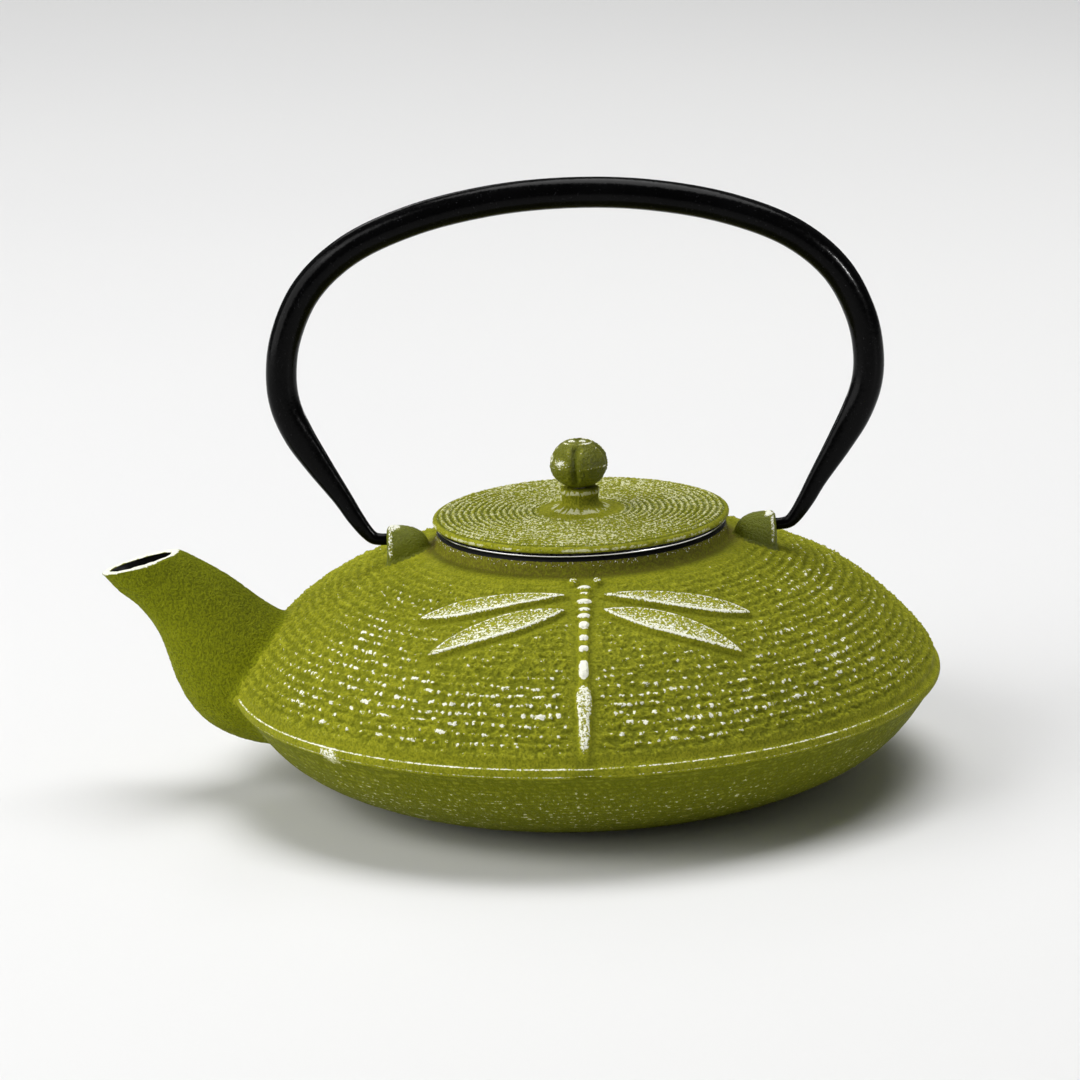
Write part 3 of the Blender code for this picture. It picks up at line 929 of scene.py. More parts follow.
def fly_frame(points):
    """Plan points in the dragonfly's own upright frame."""
    c = np.cos(-FLY_TURN)
    s = np.sin(-FLY_TURN)
    d = points[:, :2] - FLY_PIVOT
    return np.stack([c * d[:, 0] - s * d[:, 1], s * d[:, 0] + c * d[:, 1]], -1) + FLY_PIVOT


def wing_relief(plan):
    """(height, white, distance inside) of the four wings: worn whitest along their edges."""
    layers = []
    for wing in WINGS:
        for side in (-1, 1):
            inside = outline_distance(plan, wing_outline(wing, side))
            hollow = 0.22 * smoothstep(0.75, 1.6, inside)
            height = FLY_HEIGHT * smoothstep(-0.45, 0.55, inside) * (1 - hollow)
            root, tip = wing_ends(wing, side)
            share = np.clip((plan[:, 0] - root[0]) / (tip[0] - root[0]), 0, 1)
            forward = (root[1] + share * (tip[1] - root[1]) - plan[:, 1]) / wing["half"]
            edge_white = 0.76 - 0.29 * smoothstep(0.30, 1.1, inside)
            edge_white += 0.15 * np.clip(forward, -0.6, 0.8)
            layers.append((height, smoothstep(0.05, 0.42, inside) * edge_white, inside))
    return layers


def body_relief(plan):
    """The same of the body's segments, the low stem that joins them and the eyes."""
    layers = []
    for ahead, half_length, half_width in SEGMENTS:
        q = np.stack([plan[:, 0] / half_width, (plan[:, 1] + ahead) / half_length], -1)
        oval = (np.abs(q) ** SEGMENT_FULLNESS).sum(-1) ** (1 / SEGMENT_FULLNESS)
        inside = (1 - oval) * min(half_width, half_length)
        white = smoothstep(-0.1, 0.35, inside) * (0.60 if ahead > TAIL_FROM else 0.86)
        layers.append((FLY_HEIGHT * 1.05 * smoothstep(-0.5, 0.75, inside), white, inside))
    ahead = -plan[:, 1]
    stem = np.minimum(1.15 - np.abs(plan[:, 0]), np.minimum(ahead - 42.5, 86.5 - ahead))
    layers.append((0.62 * FLY_HEIGHT * smoothstep(-0.5, 0.5, stem), 0 * stem, stem))
    for x, y, radius in EYES:
        inside = radius - np.hypot(plan[:, 0] - x, plan[:, 1] - y)
        white = 0.54 * smoothstep(0.1, 0.6, inside)
        layers.append((FLY_HEIGHT * smoothstep(-0.5, 0.8, inside), white, inside))
    return layers


def dragonfly(points):
    """(height, white share, nearness) of the relief at each point of the shoulder."""
    zone = (points[:, 1] < -36) & (np.abs(points[:, 0]) < 48)
    plan = fly_frame(points[zone])
    layers = wing_relief(plan) + body_relief(plan)
    heights, whites, insides = (highest(*fields) for fields in zip(*layers))
    height = np.zeros(len(points))
    white = np.zeros(len(points))
    near = np.zeros(len(points))
    moat = smoothstep(-3.0, -0.4, insides) * (1 - smoothstep(-0.4, 0.1, insides))
    height[zone] = np.maximum(heights, 0) - 0.22 * moat
    white[zone] = np.maximum(whites, 0)
    near[zone] = smoothstep(-2.6, -0.6, insides)
    return height, white, near


def beads(turn, off, row, radii, rng, spacing, long, wide):
    """Small bumps scattered along rows: the tallest at each point, and how far it catches paint."""
    bump = np.zeros(len(turn))
    paint = np.zeros(len(turn))
    for index, radius in enumerate(radii):
        chosen = np.where(row == index)[0]
        length = 2 * pi * radius
        count = max(8, int(length / spacing))
        where = (np.arange(count) + rng.uniform(-0.42, 0.42, count)) / count
        strength = rng.random(count)
        half_long = long * (0.75 + 0.6 * rng.random(count) + 1.7 * (rng.random(count) < 0.07))
        half_wide = wide * (0.8 + 0.4 * rng.random(count))
        shift = 0.42 * wide * rng.standard_normal(count)
        if not len(chosen):
            continue
        after = np.searchsorted(where, turn[chosen])
        for step in (-2, -1, 0, 1):
            pick = (after + step) % count
            gap = ((turn[chosen] - where[pick] + 0.5) % 1.0 - 0.5) * length
            shape = hump(gap, 0, half_long[pick]) * hump(off[chosen], shift[pick], half_wide[pick])
            bump[chosen] = np.maximum(bump[chosen], (0.35 + 0.65 * strength[pick]) * shape)
            paint[chosen] = np.maximum(paint[chosen], (0.25 + 0.95 * strength[pick]) * shape)
    return bump, paint


def hammered_rows(turn, up, rng):
    """(height, tip share) of the rows of small blows, from the turn 0..1 and distance up the slope."""
    sway = Noise(rng, 36, 30)(turn, np.clip(up / 2.4, 0, 29)) - 0.5
    sway += 0.5 * (Noise(rng, 150, 60)(turn, np.clip(up / 1.2, 0, 59)) - 0.5)
    up = up + 0.75 * sway
    place_in = (up - ROW_FIRST) / ROW_PITCH
    row = np.round(place_in)
    off = (place_in - row) * ROW_PITCH
    row = np.clip(row, 0, ROW_COUNT - 1)
    ridge = np.cos(pi * off / ROW_PITCH) ** 0.8
    radii = ROW_RADIUS - ROW_INWARD * ROW_PITCH * np.arange(ROW_COUNT)
    bump, paint = beads(turn, off, row, radii, rng, *ROW_BEADS)
    leather = Noise(rng, 430, 90)(turn, np.clip(up * 1.25, 0, 89)) - 0.5
    pores = Noise(rng, 860, 160)(turn, np.clip(up * 2.2, 0, 159)) - 0.5
    side = degrees_round(turn)
    plainer = np.maximum(smoothstep(28, 60, side), smoothstep(90, 120, np.abs(side)))
    height = (0.12 + 0.14 * plainer) * ridge + 0.50 * bump + 0.50 * leather + 0.48 * pores - 0.05
    return height, paint


def dry_brush(turn, up, rng):
    """How strongly the white paint was brushed over the shoulder, 0 to 1.15."""
    side = degrees_round(turn)
    angle = np.abs(side)
    front = 1 - smoothstep(62, 84, angle)
    back = smoothstep(100, 125, angle)
    middle_gap = 1 - 0.8 * hump(angle, 0, 3.2)
    patches = Noise(rng, 22, 9)(turn, up / 8.0)
    amount = 0.46 + 0.54 * hump(up, 15.0, 12.0) * np.maximum(front, back) * middle_gap
    amount += 0.40 * hump(angle, 62, 20) * smoothstep(16, 30, up)
    amount *= 0.72 + 0.5 * patches
    amount *= 1 - 0.5 * smoothstep(-48, -70, side)
    # Fewer white flecks on the right side: partly fewer flecks there on the pot, partly painted shade that
    # dims the side which gets less light
    amount *= 1 - 0.22 * smoothstep(25, 50, side) * (1 - smoothstep(95, 120, side))
    amount *= 1 - 0.45 * smoothstep(44, 58, up)
    amount *= smoothstep(2.2, 4.8, up)
    return np.clip(amount, 0, 1.15)


def rim_paint(turn, up, away, rng):
    """(high, worn) of the rim band: white along its two edges, and one knocked patch."""
    side = degrees_round(turn)
    rim_share = 1 - 0.8 * hump(side, 88, 34, 4)
    edge_line = hump(up, 0.05, 0.26) * smoothstep(-1.0, 4.0, away) * rim_share
    band_line = 0.66 * hump(up, -2.15, 0.32) * smoothstep(0.0, 6.0, away) * rim_share
    patch = hump(side, -45, PATCH_HALF_TURN, 4) * hump(up, -2.6, 3.0, 4)
    patchy = 0.26 + 0.42 * round_noise(rng, 60, turn) + 0.50 * round_noise(rng, 420, turn)
    patchy *= 1 - 0.25 * smoothstep(-44, -60, side)
    return highest(edge_line, band_line, 0.66 * patch), np.maximum(patchy * 1.05, 0.9 * (patch > 0.3))


def collar_paint(turn, level):
    """(high, shade, dirt and shade) of the collar: a dusting of white, painted shade from the lid over the
    collar and in the crease at its foot, and grime by the lugs mixed with more of the lid's painted shade.
    """
    dust = 0.36 * smoothstep(62.8, 64.2, level) * (1 - smoothstep(64.8, 65.4, level))
    # Painted shade: the collar under the lid's brim and the crease at its foot are made darker
    on_collar = smoothstep(60.9, 61.6, level)
    crease = hump(level, 61.5, 0.4) * (level > 60.3)
    by_lug = hump(np.abs(degrees_round(turn)), 90, 14) * smoothstep(60.2, 61.5, level)
    # Real grime by the lugs, and brown over the collar that is the lid's painted shade
    dirt_and_shade = highest(0.75 * smoothstep(62.4, 64.4, level), 0.56 * on_collar, by_lug)
    return dust, np.maximum(0.35 * on_collar, 0.9 * crease), dirt_and_shade


def upper_shell(body_tree, spout_tree, lug_trees, material):
    """Collar, shoulder and rim band, with the hammered rows and the dragonfly in its shape."""
    rng = np.random.default_rng(SEED)
    collar = curve_through(COLLAR_OUTLINE, COLLAR_STEP)
    rim = curve_through(RIM_OUTLINE, RIM_STEP)
    profile = np.vstack([collar[:-1], shoulder_profile()[:-1], rim])
    points, normals, turn = turned_surface(profile, SHOULDER_STEPS)
    along = distance_along(profile)
    edge_at = along[np.argmin(np.linalg.norm(profile - RIM_EDGE, axis=1))]
    up = np.repeat(edge_at - along, SHOULDER_STEPS)
    level = np.repeat(profile[:, 1], SHOULDER_STEPS)

    shell = points.copy()
    past_seam = np.full(len(points), -FAR)
    away = np.full(len(points), FAR)
    for tree, size, centre, reach in [(spout_tree, SPOUT_FILLET, SPOUT_ROOT, SPOUT_REACH), *lug_trees]:
        close = np.where(np.linalg.norm(points - centre, axis=1) < reach)[0]
        moved, gap, past = pull_to_blend(points[close], normals[close], body_tree, tree, size)
        shell[close] = moved
        away[close] = np.minimum(away[close], gap)
        past_seam[close] = np.maximum(past_seam[close], past)

    fade = smoothstep(0.2, 2.6, away)
    row_height, tip = hammered_rows(turn, up, rng)
    fly_height, fly_white, fly_near = dragonfly(points)
    on_shoulder = smoothstep(1.2, 4.2, up) * (1 - smoothstep(58.0, 62.0, up))
    rows_share = on_shoulder * (1 - 0.93 * fly_near) * fade * (1 - 0.35 * smoothstep(48, 60, up))
    grain = Noise(rng, 1300, 120)(turn, np.clip(up * 1.5 + 6, 0, 119)) - 0.5
    height = rows_share * row_height + fly_height * fade
    height += 0.05 * grain * (up > -4) - 0.25 * hump(up, 1.5, 0.8) * fade
    height -= seam_sink(past_seam)
    shell += normals * height[:, None]

    brush = dry_brush(turn, up, rng)
    rim_high, rim_worn = rim_paint(turn, up, away, rng)
    collar_high, collar_shade, dirt_and_shade = collar_paint(turn, level)
    worn = np.where(fly_white > 0.02, 0.95, brush)
    worn = np.where(up < 1.2, rim_worn, worn)
    # Painted shade in the hollows between the rows of blows
    shade_between_rows = 0.82 * np.clip(0.75 - row_height / 0.26, 0, 1) * rows_share
    attributes = {
        "high": highest(1.05 * rows_share * tip, fly_white, rim_high, collar_high),
        "worn": np.where(level > 61.3, 0.85, worn),
        # Painted shade: between the rows, in a ring round the dragonfly's foot, and on the collar under the
        # lid
        "shade_and_tone": highest(shade_between_rows, 0.5 * fly_near * (fly_height < 0.1), collar_shade),
        "enamel": smoothstep(64.5, 65.3, level),
        "dirt_and_shade": dirt_and_shade,
    }
    faces = grid_faces(len(profile), SHOULDER_STEPS)
    shell, faces, attributes = keep_faces(shell, faces, past_seam < SEAM_LAP, attributes)
    return mesh_object("pot_upper_shell", shell, faces, material, attributes)


def bowl_flecks(turn, along, profile, profile_along, rng):
    """How far small tips, in rows round the bowl, catch paint."""
    drift = along + 1.6 * (Noise(rng, 60, 30)(turn, np.clip(along / 1.8, 0, 29)) - 0.5)
    row = np.round(drift / FLECK_PITCH)
    off = drift - row * FLECK_PITCH
    radii = np.interp(FLECK_PITCH * np.arange(FLECK_ROWS), profile_along, profile[:, 0])
    row = np.clip(row, 0, FLECK_ROWS - 1)
    return beads(turn, off, row, radii, rng, *FLECK_BEADS)[1]


def lower_shell(body_tree, spout_tree, material):
    """The bowl below the rim band and the flat base."""
    rng = np.random.default_rng(SEED + 1)
    profile = np.vstack([curve_through(BOWL_OUTLINE[:-1], BOWL_STEP), BASE_RINGS])
    points, normals, turn = turned_surface(profile, BOWL_STEPS)
    close = np.where(np.linalg.norm(points - BOWL_ROOT, axis=1) < BOWL_REACH)[0]
    shell, away, past_seam = blended(points, normals, close, body_tree, spout_tree, SPOUT_FILLET)
    profile_along = distance_along(profile)
    along = np.repeat(profile_along, BOWL_STEPS)
    side = degrees_round(turn)

    fade = smoothstep(1.0, 7.0, away) * smoothstep(0.6, 3.0, along)
    on_side = 1 - smoothstep(40, 46, along)
    dots = Noise(rng, 420, 70)(turn, np.clip(along / 1.3, 0, 69)) - 0.5
    small = Noise(rng, 800, 110)(turn, np.clip(along * 1.6, 0, 109)) - 0.5
    height = 0.10 * (dots + small) * fade * (0.35 + 0.65 * on_side)
    height *= smoothstep(46.0, 42.0, along) * 0.6 + 0.4
    height -= seam_sink(past_seam)
    shell += normals * np.minimum(height, 0.12)[:, None]
    shell[:, 2] = np.maximum(shell[:, 2], 0.0)

    tips = bowl_flecks(turn, along, profile, profile_along, rng)
    patch = hump(side, -44.8, PATCH_HALF_TURN, 4) * hump(along, 0, 3.2, 4)
    band = 0.55 + 0.45 * hump(along, 18, 14)
    fewer = 1 - 0.22 * smoothstep(-30, 60, side)
    worn = 0.78 * fewer * band * on_side * fade * smoothstep(2.5, 7.0, along)
    worn *= 0.75 + 0.35 * Noise(rng, 26, 6)(turn, along / 12.0)
    attributes = {
        "high": np.maximum(0.95 * tips, 0.62 * patch),
        "worn": np.maximum(worn, 0.95 * (patch > 0.3)),
        # Painted shade over the whole bowl, which faces down
        "shade_and_tone": np.full(len(points), 0.35),
    }
    faces = grid_faces(len(profile), BOWL_STEPS)
    shell, faces, attributes = keep_faces(shell, faces, past_seam < SEAM_LAP, attributes)
    return mesh_object("pot_lower_shell", shell, faces, material, attributes)


def inner_shell(bore_tree, material):
    """The enamelled inside, open where the spout starts."""
    profile = curve_through(INSIDE_OUTLINE, INSIDE_STEP)
    points = turned_grid(profile, BODY_STEPS).reshape(-1, 3)
    faces = grid_faces(len(profile), BODY_STEPS)[:, ::-1]
    keep = np.ones(len(points), bool)
    close = np.where(points[:, 0] < -60)[0]
    keep[close] = signed_distance(bore_tree, points[close]) > -0.4
    points, faces, _ = keep_faces(points, faces, keep, {})
    return mesh_object("pot_inside", points, faces, material)


# ======================================================================== spout and lugs
def spout_lip(end, turns, out, rng):
    """Rows of points over the rounded lip, from the spout's outer edge to its inner edge."""
    wobble = round_noise(rng, 40, np.arange(len(turns)) / len(turns)) - 0.5
    rows = []
    for angle in np.linspace(0, pi, LIP_ROWS + 1)[1:]:
        ring = spout_points(end, turns, SPOUT_WALL / 2 * (1 - np.cos(angle)))[0]
        rise = LIP_RISE * np.sin(angle) ** 0.7 if angle < pi - 0.01 else 0.0
        rows.append(ring + out * (rise - LIP_RISE + 0.25 * wobble[:, None] * np.sin(angle)))
    return np.array(rows)


def spout_shell(body_tree, material):
    """Outer wall with its blend into the bowl, the worn lip, and the enamelled bore."""
    rng = np.random.default_rng(SEED + 2)
    turns = np.linspace(0, 2 * pi, SPOUT_COLUMNS, endpoint=False)
    outer = spout_sections(SPOUT_STEP)
    count = len(outer)
    plain = spout_points(outer, turns)
    flat = plain.reshape(-1, 3)
    tree = tree_of(flat, grid_faces(count, SPOUT_COLUMNS))
    normals = grid_normals(plain, -1)
    near = np.where(signed_distance(body_tree, flat) < SPOUT_FILLET * 1.7)[0]
    shape, _, past_seam = blended(flat, normals, near, tree, body_tree, SPOUT_FILLET)
    row = np.repeat(np.arange(count), SPOUT_COLUMNS)
    turn = np.tile(np.arange(SPOUT_COLUMNS) / SPOUT_COLUMNS, count)
    grain = Noise(rng, 150, 200)(turn, row * 0.9) - 0.5
    rise = 0.24 * grain * smoothstep(count, count - 6, row) - seam_sink(past_seam)
    shape += normals * rise[:, None]

    end = outer[-1:]
    out = np.array([end[0, 3] - end[0, 1], 0.0, end[0, 0] - end[0, 2]])
    out = out / np.linalg.norm(out)
    lip = spout_lip(end, turns, out, rng)
    wall = shape.reshape(plain.shape)
    wall[-1] -= out * LIP_RISE
    bore = spout_points(outer[::-1], turns, SPOUT_WALL)[1:]
    grid = np.concatenate([wall, lip, bore])
    rows = len(grid)
    keep = np.ones(rows * SPOUT_COLUMNS, bool)
    keep[: len(flat)] = past_seam < SEAM_LAP
    keep[-8 * SPOUT_COLUMNS :] = False

    stage_of = np.repeat(np.arange(rows), SPOUT_COLUMNS)
    mouth = count + LIP_ROWS
    ragged = round_noise(rng, 26, turns / (2 * pi))
    reach = 3.2 + 3.6 * np.tile(ragged**2, rows)
    high = hump(stage_of, count + LIP_ROWS / 2 - 1, reach, 4)
    attributes = {
        "high": high * 1.05,
        "worn": 0.9 * (high > 0.02),
        "shade_and_tone": np.full(len(high), 0.30),
        "enamel": smoothstep(mouth - 2.5, mouth - 1.0, stage_of),
    }
    faces = grid_faces(rows, SPOUT_COLUMNS)
    points, faces, attributes = keep_faces(grid.reshape(-1, 3), faces, keep, attributes)
    return mesh_object("pot_spout", points, faces[:, ::-1], material, attributes)


def grid_normals(grid, sign):
    """Unit normals of a grid of points closed round its columns."""
    along = np.gradient(grid, axis=0)
    round_ = np.roll(grid, -1, axis=1) - np.roll(grid, 1, axis=1)
    n = np.cross(along, round_) * sign
    n /= np.linalg.norm(n, axis=-1)[..., None] + 1e-12
    return n.reshape(-1, 3)


def lug_grid(side):
    """A dome closed by a flat outer face, with the blind hole for the pin in it."""
    across, wide, tall = LUG_HALF
    theta = np.linspace(0, 2 * pi, LUG_COLUMNS, endpoint=False)
    power = 2 / LUG_FULLNESS
    last = np.arccos((LUG_EDGE / across) ** (1 / power))
    rows = []
    for angle in np.linspace(0.02, last, LUG_DOME_ROWS):
        rows.append((LUG_FACE_X - across * np.cos(angle) ** power, np.sin(angle) ** power))
    for angle in np.linspace(0, pi / 2, LUG_EDGE_ROWS + 1)[1:]:
        rows.append((LUG_FACE_X - LUG_EDGE * (1 - np.sin(angle)), 1 - LUG_EDGE / tall * (1 - np.cos(angle))))
    points = []
    for x, share in rows:
        y = wide * share * np.sin(theta)
        z = LUG_CENTRE_Z + tall * share * np.cos(theta)
        points.append(np.stack([side * x + 0 * theta, y, z], -1))
    face = points[-1]
    for radius, depth in PIN_HOLE_RINGS:
        y = radius * np.sin(theta)
        z = PIN_Z + radius * np.cos(theta)
        ring = np.stack([side * (LUG_FACE_X - depth) + 0 * theta, y, z], -1)
        if depth == 0:
            points += [face * (1 - share) + ring * share for share in (0.3, 0.6)]
        points.append(ring)
    return np.array(points)


def lug_piece(side, label, body_tree, material):
    rng = np.random.default_rng(SEED + 5 + side)
    grid = lug_grid(side)
    rows, columns = grid.shape[:2]
    flat = grid.reshape(-1, 3)
    faces = grid_faces(rows, columns)
    if side > 0:
        faces = faces[:, ::-1]
    normals = grid_normals(grid, side)
    turn = np.tile(np.arange(columns) / columns, rows)
    row = np.repeat(np.arange(rows), columns)
    near = np.where(row < LUG_DOME_ROWS + LUG_EDGE_ROWS)[0]
    tree = tree_of(flat, faces)
    shape, _, past_seam = blended(flat, normals, near, tree, body_tree, LUG_FILLET)
    grain = Noise(rng, 50, 60)(turn, row * 1.1) - 0.5
    shape[near] += normals[near] * (0.14 * grain[near])[:, None]
    shape -= normals * seam_sink(past_seam)[:, None]

    edge_at = LUG_FACE_X - 0.9 - np.abs(shape[:, 0])
    ragged = Noise(rng, 30, 60)(turn, row * 1.1)
    crown = smoothstep(65.7, 66.7, shape[:, 2]) * hump(edge_at, 0.6, 0.8 + 3.2 * ragged**2)
    arris = 0.78 * hump(edge_at, 0, 0.55) * smoothstep(57, 62, shape[:, 2])
    attributes = {
        "high": np.maximum(crown * (0.55 + 0.6 * ragged), arris * (0.5 + 0.7 * ragged)),
        "worn": np.full(len(flat), 0.95),
        "shade_and_tone": np.full(len(flat), 0.25),
    }
    shape, faces, attributes = keep_faces(shape, faces, past_seam < SEAM_LAP, attributes)
    return mesh_object(f"pot_lug_{label}", shape, faces, material, attributes)


def make_pot(parts):
    rim = curve_through(RIM_OUTLINE, BODY_RIM_STEP)
    bowl = curve_through(BOWL_OUTLINE, BODY_BOWL_STEP)
    outline = np.vstack([shoulder_profile()[:-1], rim[:-1], bowl])
    body_points = turned_grid(outline, BODY_STEPS).reshape(-1, 3)
    body_tree = tree_of(body_points, grid_faces(len(outline), BODY_STEPS))

    turns = np.linspace(0, 2 * pi, TREE_COLUMNS, endpoint=False)
    sections = spout_sections(TREE_SPOUT_STEP)
    spout_faces = grid_faces(len(sections), TREE_COLUMNS)
    spout_tree = tree_of(spout_points(sections, turns).reshape(-1, 3), spout_faces)
    bore_tree = tree_of(spout_points(sections, turns, SPOUT_WALL).reshape(-1, 3), spout_faces)

    lug_trees = []
    for side in (-1, 1):
        grid = lug_grid(side)
        tree = tree_of(grid.reshape(-1, 3), grid_faces(*grid.shape[:2]))
        lug_trees.append((tree, LUG_FILLET, (side * LUG_ROOT_X, 0.0, LUG_ROOT_Z), LUG_REACH))

    paints = {piece: iron_paint(piece, **PAINTS[piece]) for piece in ("iron", "bowl", "spout", "lug")}
    made = [
        upper_shell(body_tree, spout_tree, lug_trees, paints["iron"]),
        lower_shell(body_tree, spout_tree, paints["bowl"]),
        inner_shell(bore_tree, black_enamel()),
        spout_shell(body_tree, paints["spout"]),
        lug_piece(-1, "left", body_tree, paints["lug"]),
        lug_piece(1, "right", body_tree, paints["lug"]),
    ]
    for piece in made:
        parts.append((piece, "pot", ["pot_body"], "green_iron"))


# ======================================================================== lid, knob, rivet
def lid_top(material):
    """The lid's upper side: rows of small beads round the pedestal, and worn edges."""
    rng = np.random.default_rng(SEED + 9)
    profile = curve_through(LID_TOP_OUTLINE, LID_STEP)
    points, normals, turn = turned_surface(profile, LID_STEPS)
    radius = np.repeat(profile[:, 0], LID_STEPS)
    level = np.repeat(profile[:, 1], LID_STEPS)
    sway = round_noise(rng, 26, turn) - 0.5
    at = (radius + 0.35 * sway - LID_ROW_FIRST) / LID_ROW_PITCH
    row = np.round(at)
    off = (at - row) * LID_ROW_PITCH
    row = np.clip(row + 1, 0, LID_ROW_COUNT - 1)
    radii = LID_ROW_INNER + LID_ROW_PITCH * np.arange(LID_ROW_COUNT)
    bump, paint = beads(turn, off, row, radii, rng, *LID_BEADS)
    ridge = 0.5 + 0.5 * np.cos(2 * pi * off / LID_ROW_PITCH)
    field = smoothstep(10.2, 11.6, radius) * (1 - smoothstep(36.2, 37.0, radius)) * (level > 68.0)
    spots = Noise(rng, 520, 90)(turn, np.clip(radius * 2.2, 0, 89)) - 0.5
    height = field * (0.24 * ridge**0.7 + 0.38 * bump - 0.2) + 0.10 * spots
    shape = points + normals * height[:, None]

    strokes = round_noise(rng, 70, turn)
    foot = hump(radius + 1.2 * (strokes - 0.5), 6.9, 1.1) * (level > 69.0) * (level < 71.0)
    foot *= (0.25 + 1.05 * strokes) * (0.55 + 0.6 * round_noise(rng, 7, turn))
    lip = hump(level - 0.5 * strokes, 74.0, 0.55) * (radius < 6) * (0.35 + 0.9 * strokes)
    brim_wear = 0.55 * round_noise(rng, 46, turn) + 0.45 * round_noise(rng, 330, turn)
    brim = hump(level, 67.9, 0.42) * (radius > 36.0) * (0.30 + 0.62 * smoothstep(0.3, 0.8, brim_wear))
    attributes = {
        "high": highest(field * (0.33 + 0.42 * paint), 0.95 * foot, 1.1 * lip, brim),
        "worn": 0.82 + 0.30 * Noise(rng, 14, 6)(turn, radius / 7.0),
        # Painted shade in the grooves between the rings of beads
        "shade_and_tone": np.clip(1.5 * field * (1 - ridge) * (1 - 0.5 * bump), 0, 1.3),
        "enamel": smoothstep(67.25, 67.0, level) * (radius > 30),
    }
    return mesh_object("lid_top", shape, grid_faces(len(profile), LID_STEPS), material, attributes)


def knob_mesh(material):
    """A ball with lobes between grooves from pole to pole, a mould seam and a ringed cap."""
    rng = np.random.default_rng(SEED + 11)
    low_angle = pi - np.arccos((KNOB_Z - KNOB_FOOT_Z) / KNOB_HALF_HEIGHT)
    theta = np.linspace(-pi, pi, KNOB_COLUMNS, endpoint=False)
    angle, around = np.meshgrid(np.linspace(0.01, low_angle, KNOB_ROWS), theta, indexing="ij")
    once = around / (2 * pi)
    lobe_turn = 2 * pi / KNOB_LOBES
    lobe = np.abs(((around - KNOB_TURN) / lobe_turn + 0.5) % 1.0 - 0.5)
    from_groove = lobe * lobe_turn * KNOB_RADIUS * np.sin(angle)
    span = smoothstep(0.55, 0.85, angle) * (1 - smoothstep(2.2, 2.6, angle))
    groove = hump(from_groove, 0, 0.75) * span
    swell = hump(from_groove, 1.7, 0.7) * span
    seam_line = 1.60 + 0.05 * (round_noise(rng, 18, once) - 0.5)
    seam = hump(angle, seam_line, 0.04) * (0.4 + 0.6 * round_noise(rng, 24, once))
    petals = 0.5 + 0.5 * np.cos(KNOB_LOBES * (around - KNOB_TURN) + pi)
    ring = hump(angle, 0.50, 0.06) * (0.35 + 0.75 * petals)
    centre = hump(angle, 0.27, 0.10) * (0.2 + 0.9 * petals)
    grain = Noise(rng, 90, 60)(once, angle * 18) - 0.5
    dents = Noise(rng, 16, 9)(once, angle * 2.6) - 0.5

    rough_share = 1 - smoothstep(2.0, 2.4, angle)
    radius = KNOB_RADIUS - 0.95 * groove + 0.10 * swell + 0.08 * seam + 0.14 * ring + 0.12 * centre
    radius += (0.12 + 0.14 * rough_share) * grain + (0.26 + 0.10 * rough_share) * dents - 0.10
    x = radius * np.sin(angle) * np.sin(around)
    y = -radius * np.sin(angle) * np.cos(around)
    z = KNOB_Z + radius * np.cos(angle) * KNOB_HALF_HEIGHT / KNOB_RADIUS
    z -= 0.12 * smoothstep(0.56, 0.44, angle)
    foot = np.array([(float(np.hypot(x[-1, 0], y[-1, 0])) * 0.9, z[-1].mean() - 0.03), *KNOB_BORE])
    grid = np.concatenate([np.stack([x, y, z], -1), turned_grid(foot, KNOB_COLUMNS)])

    rubbed = Noise(rng, 9, 5)(once, angle * 1.5)
    side_patch = np.maximum(
        hump(angle, 1.38, 0.22) * hump(np.degrees(around), -42, 20),
        0.8 * hump(angle, 1.3, 0.3) * smoothstep(0.6, 0.9, rubbed),
    )
    fields = {
        "high": highest(
            0.66 * side_patch * (1 - groove),
            0.62 * seam,
            0.88 * np.maximum(ring, centre),
            0.45 * swell * smoothstep(1.5, 0.8, angle),
        ),
        "worn": 0.72 + 0.4 * Noise(rng, 30, 16)(once, angle * 4.5),
        "shade_and_tone": groove * 0.9,
    # Painted shade in the grooves between the lobes
    }
    plain = np.zeros((len(foot), KNOB_COLUMNS))
    attributes = {label: np.concatenate([field, plain]).ravel() for label, field in fields.items()}
    faces = grid_faces(len(grid), KNOB_COLUMNS)
    return mesh_object("lid_knob_ball", grid.reshape(-1, 3), faces, material, attributes)


def make_lid(parts):
    paint = iron_paint("lid", **PAINTS["lid"])
    top = lid_top(paint)
    under = turned_object("lid_underside", LID_UNDER_OUTLINE, LID_UNDER_STEP, ROUND_STEPS, black_enamel())
    bore = turned_object("lid_rivet_hole", LID_BORE_OUTLINE, LID_UNDER_STEP, RIVET_STEPS, paint)
    bore.data.flip_normals()
    for piece in (top, under, bore):
        parts.append((piece, "lid", ["lid"], "green_lid"))
    knob = knob_mesh(iron_paint("knob", **PAINTS["knob"]))
    parts.append((knob, "lid", ["lid_knob"], "green_knob"))
    head = steel("plain_steel_head")
    rivet = turned_object("knob_rivet_round", RIVET_OUTLINE, RIVET_STEP, RIVET_STEPS, head)
    parts.append((rivet, "lid_rivet", ["knob_rivet"], "plain_steel"))


# ======================================================================== infuser
def woven(name, wires, material):
    """One mesh from many wires, each a grid of points and its faces."""
    sizes = [grid[..., 0].size for grid, _ in wires]
    firsts = np.cumsum([0, *sizes[:-1]])
    points = np.vstack([grid.reshape(-1, 3) for grid, _ in wires])
    faces = np.vstack([faces + first for (_, faces), first in zip(wires, firsts)])
    return mesh_object(name, points, faces, material)


def wire_section():
    """A wire's outline: two arrays, how far out and how far aside each of its corners lies."""
    phase = np.linspace(0, 2 * pi, WIRE_SIDES, endpoint=False)
    return WIRE_RADIUS * np.cos(phase), WIRE_RADIUS * np.sin(phase)


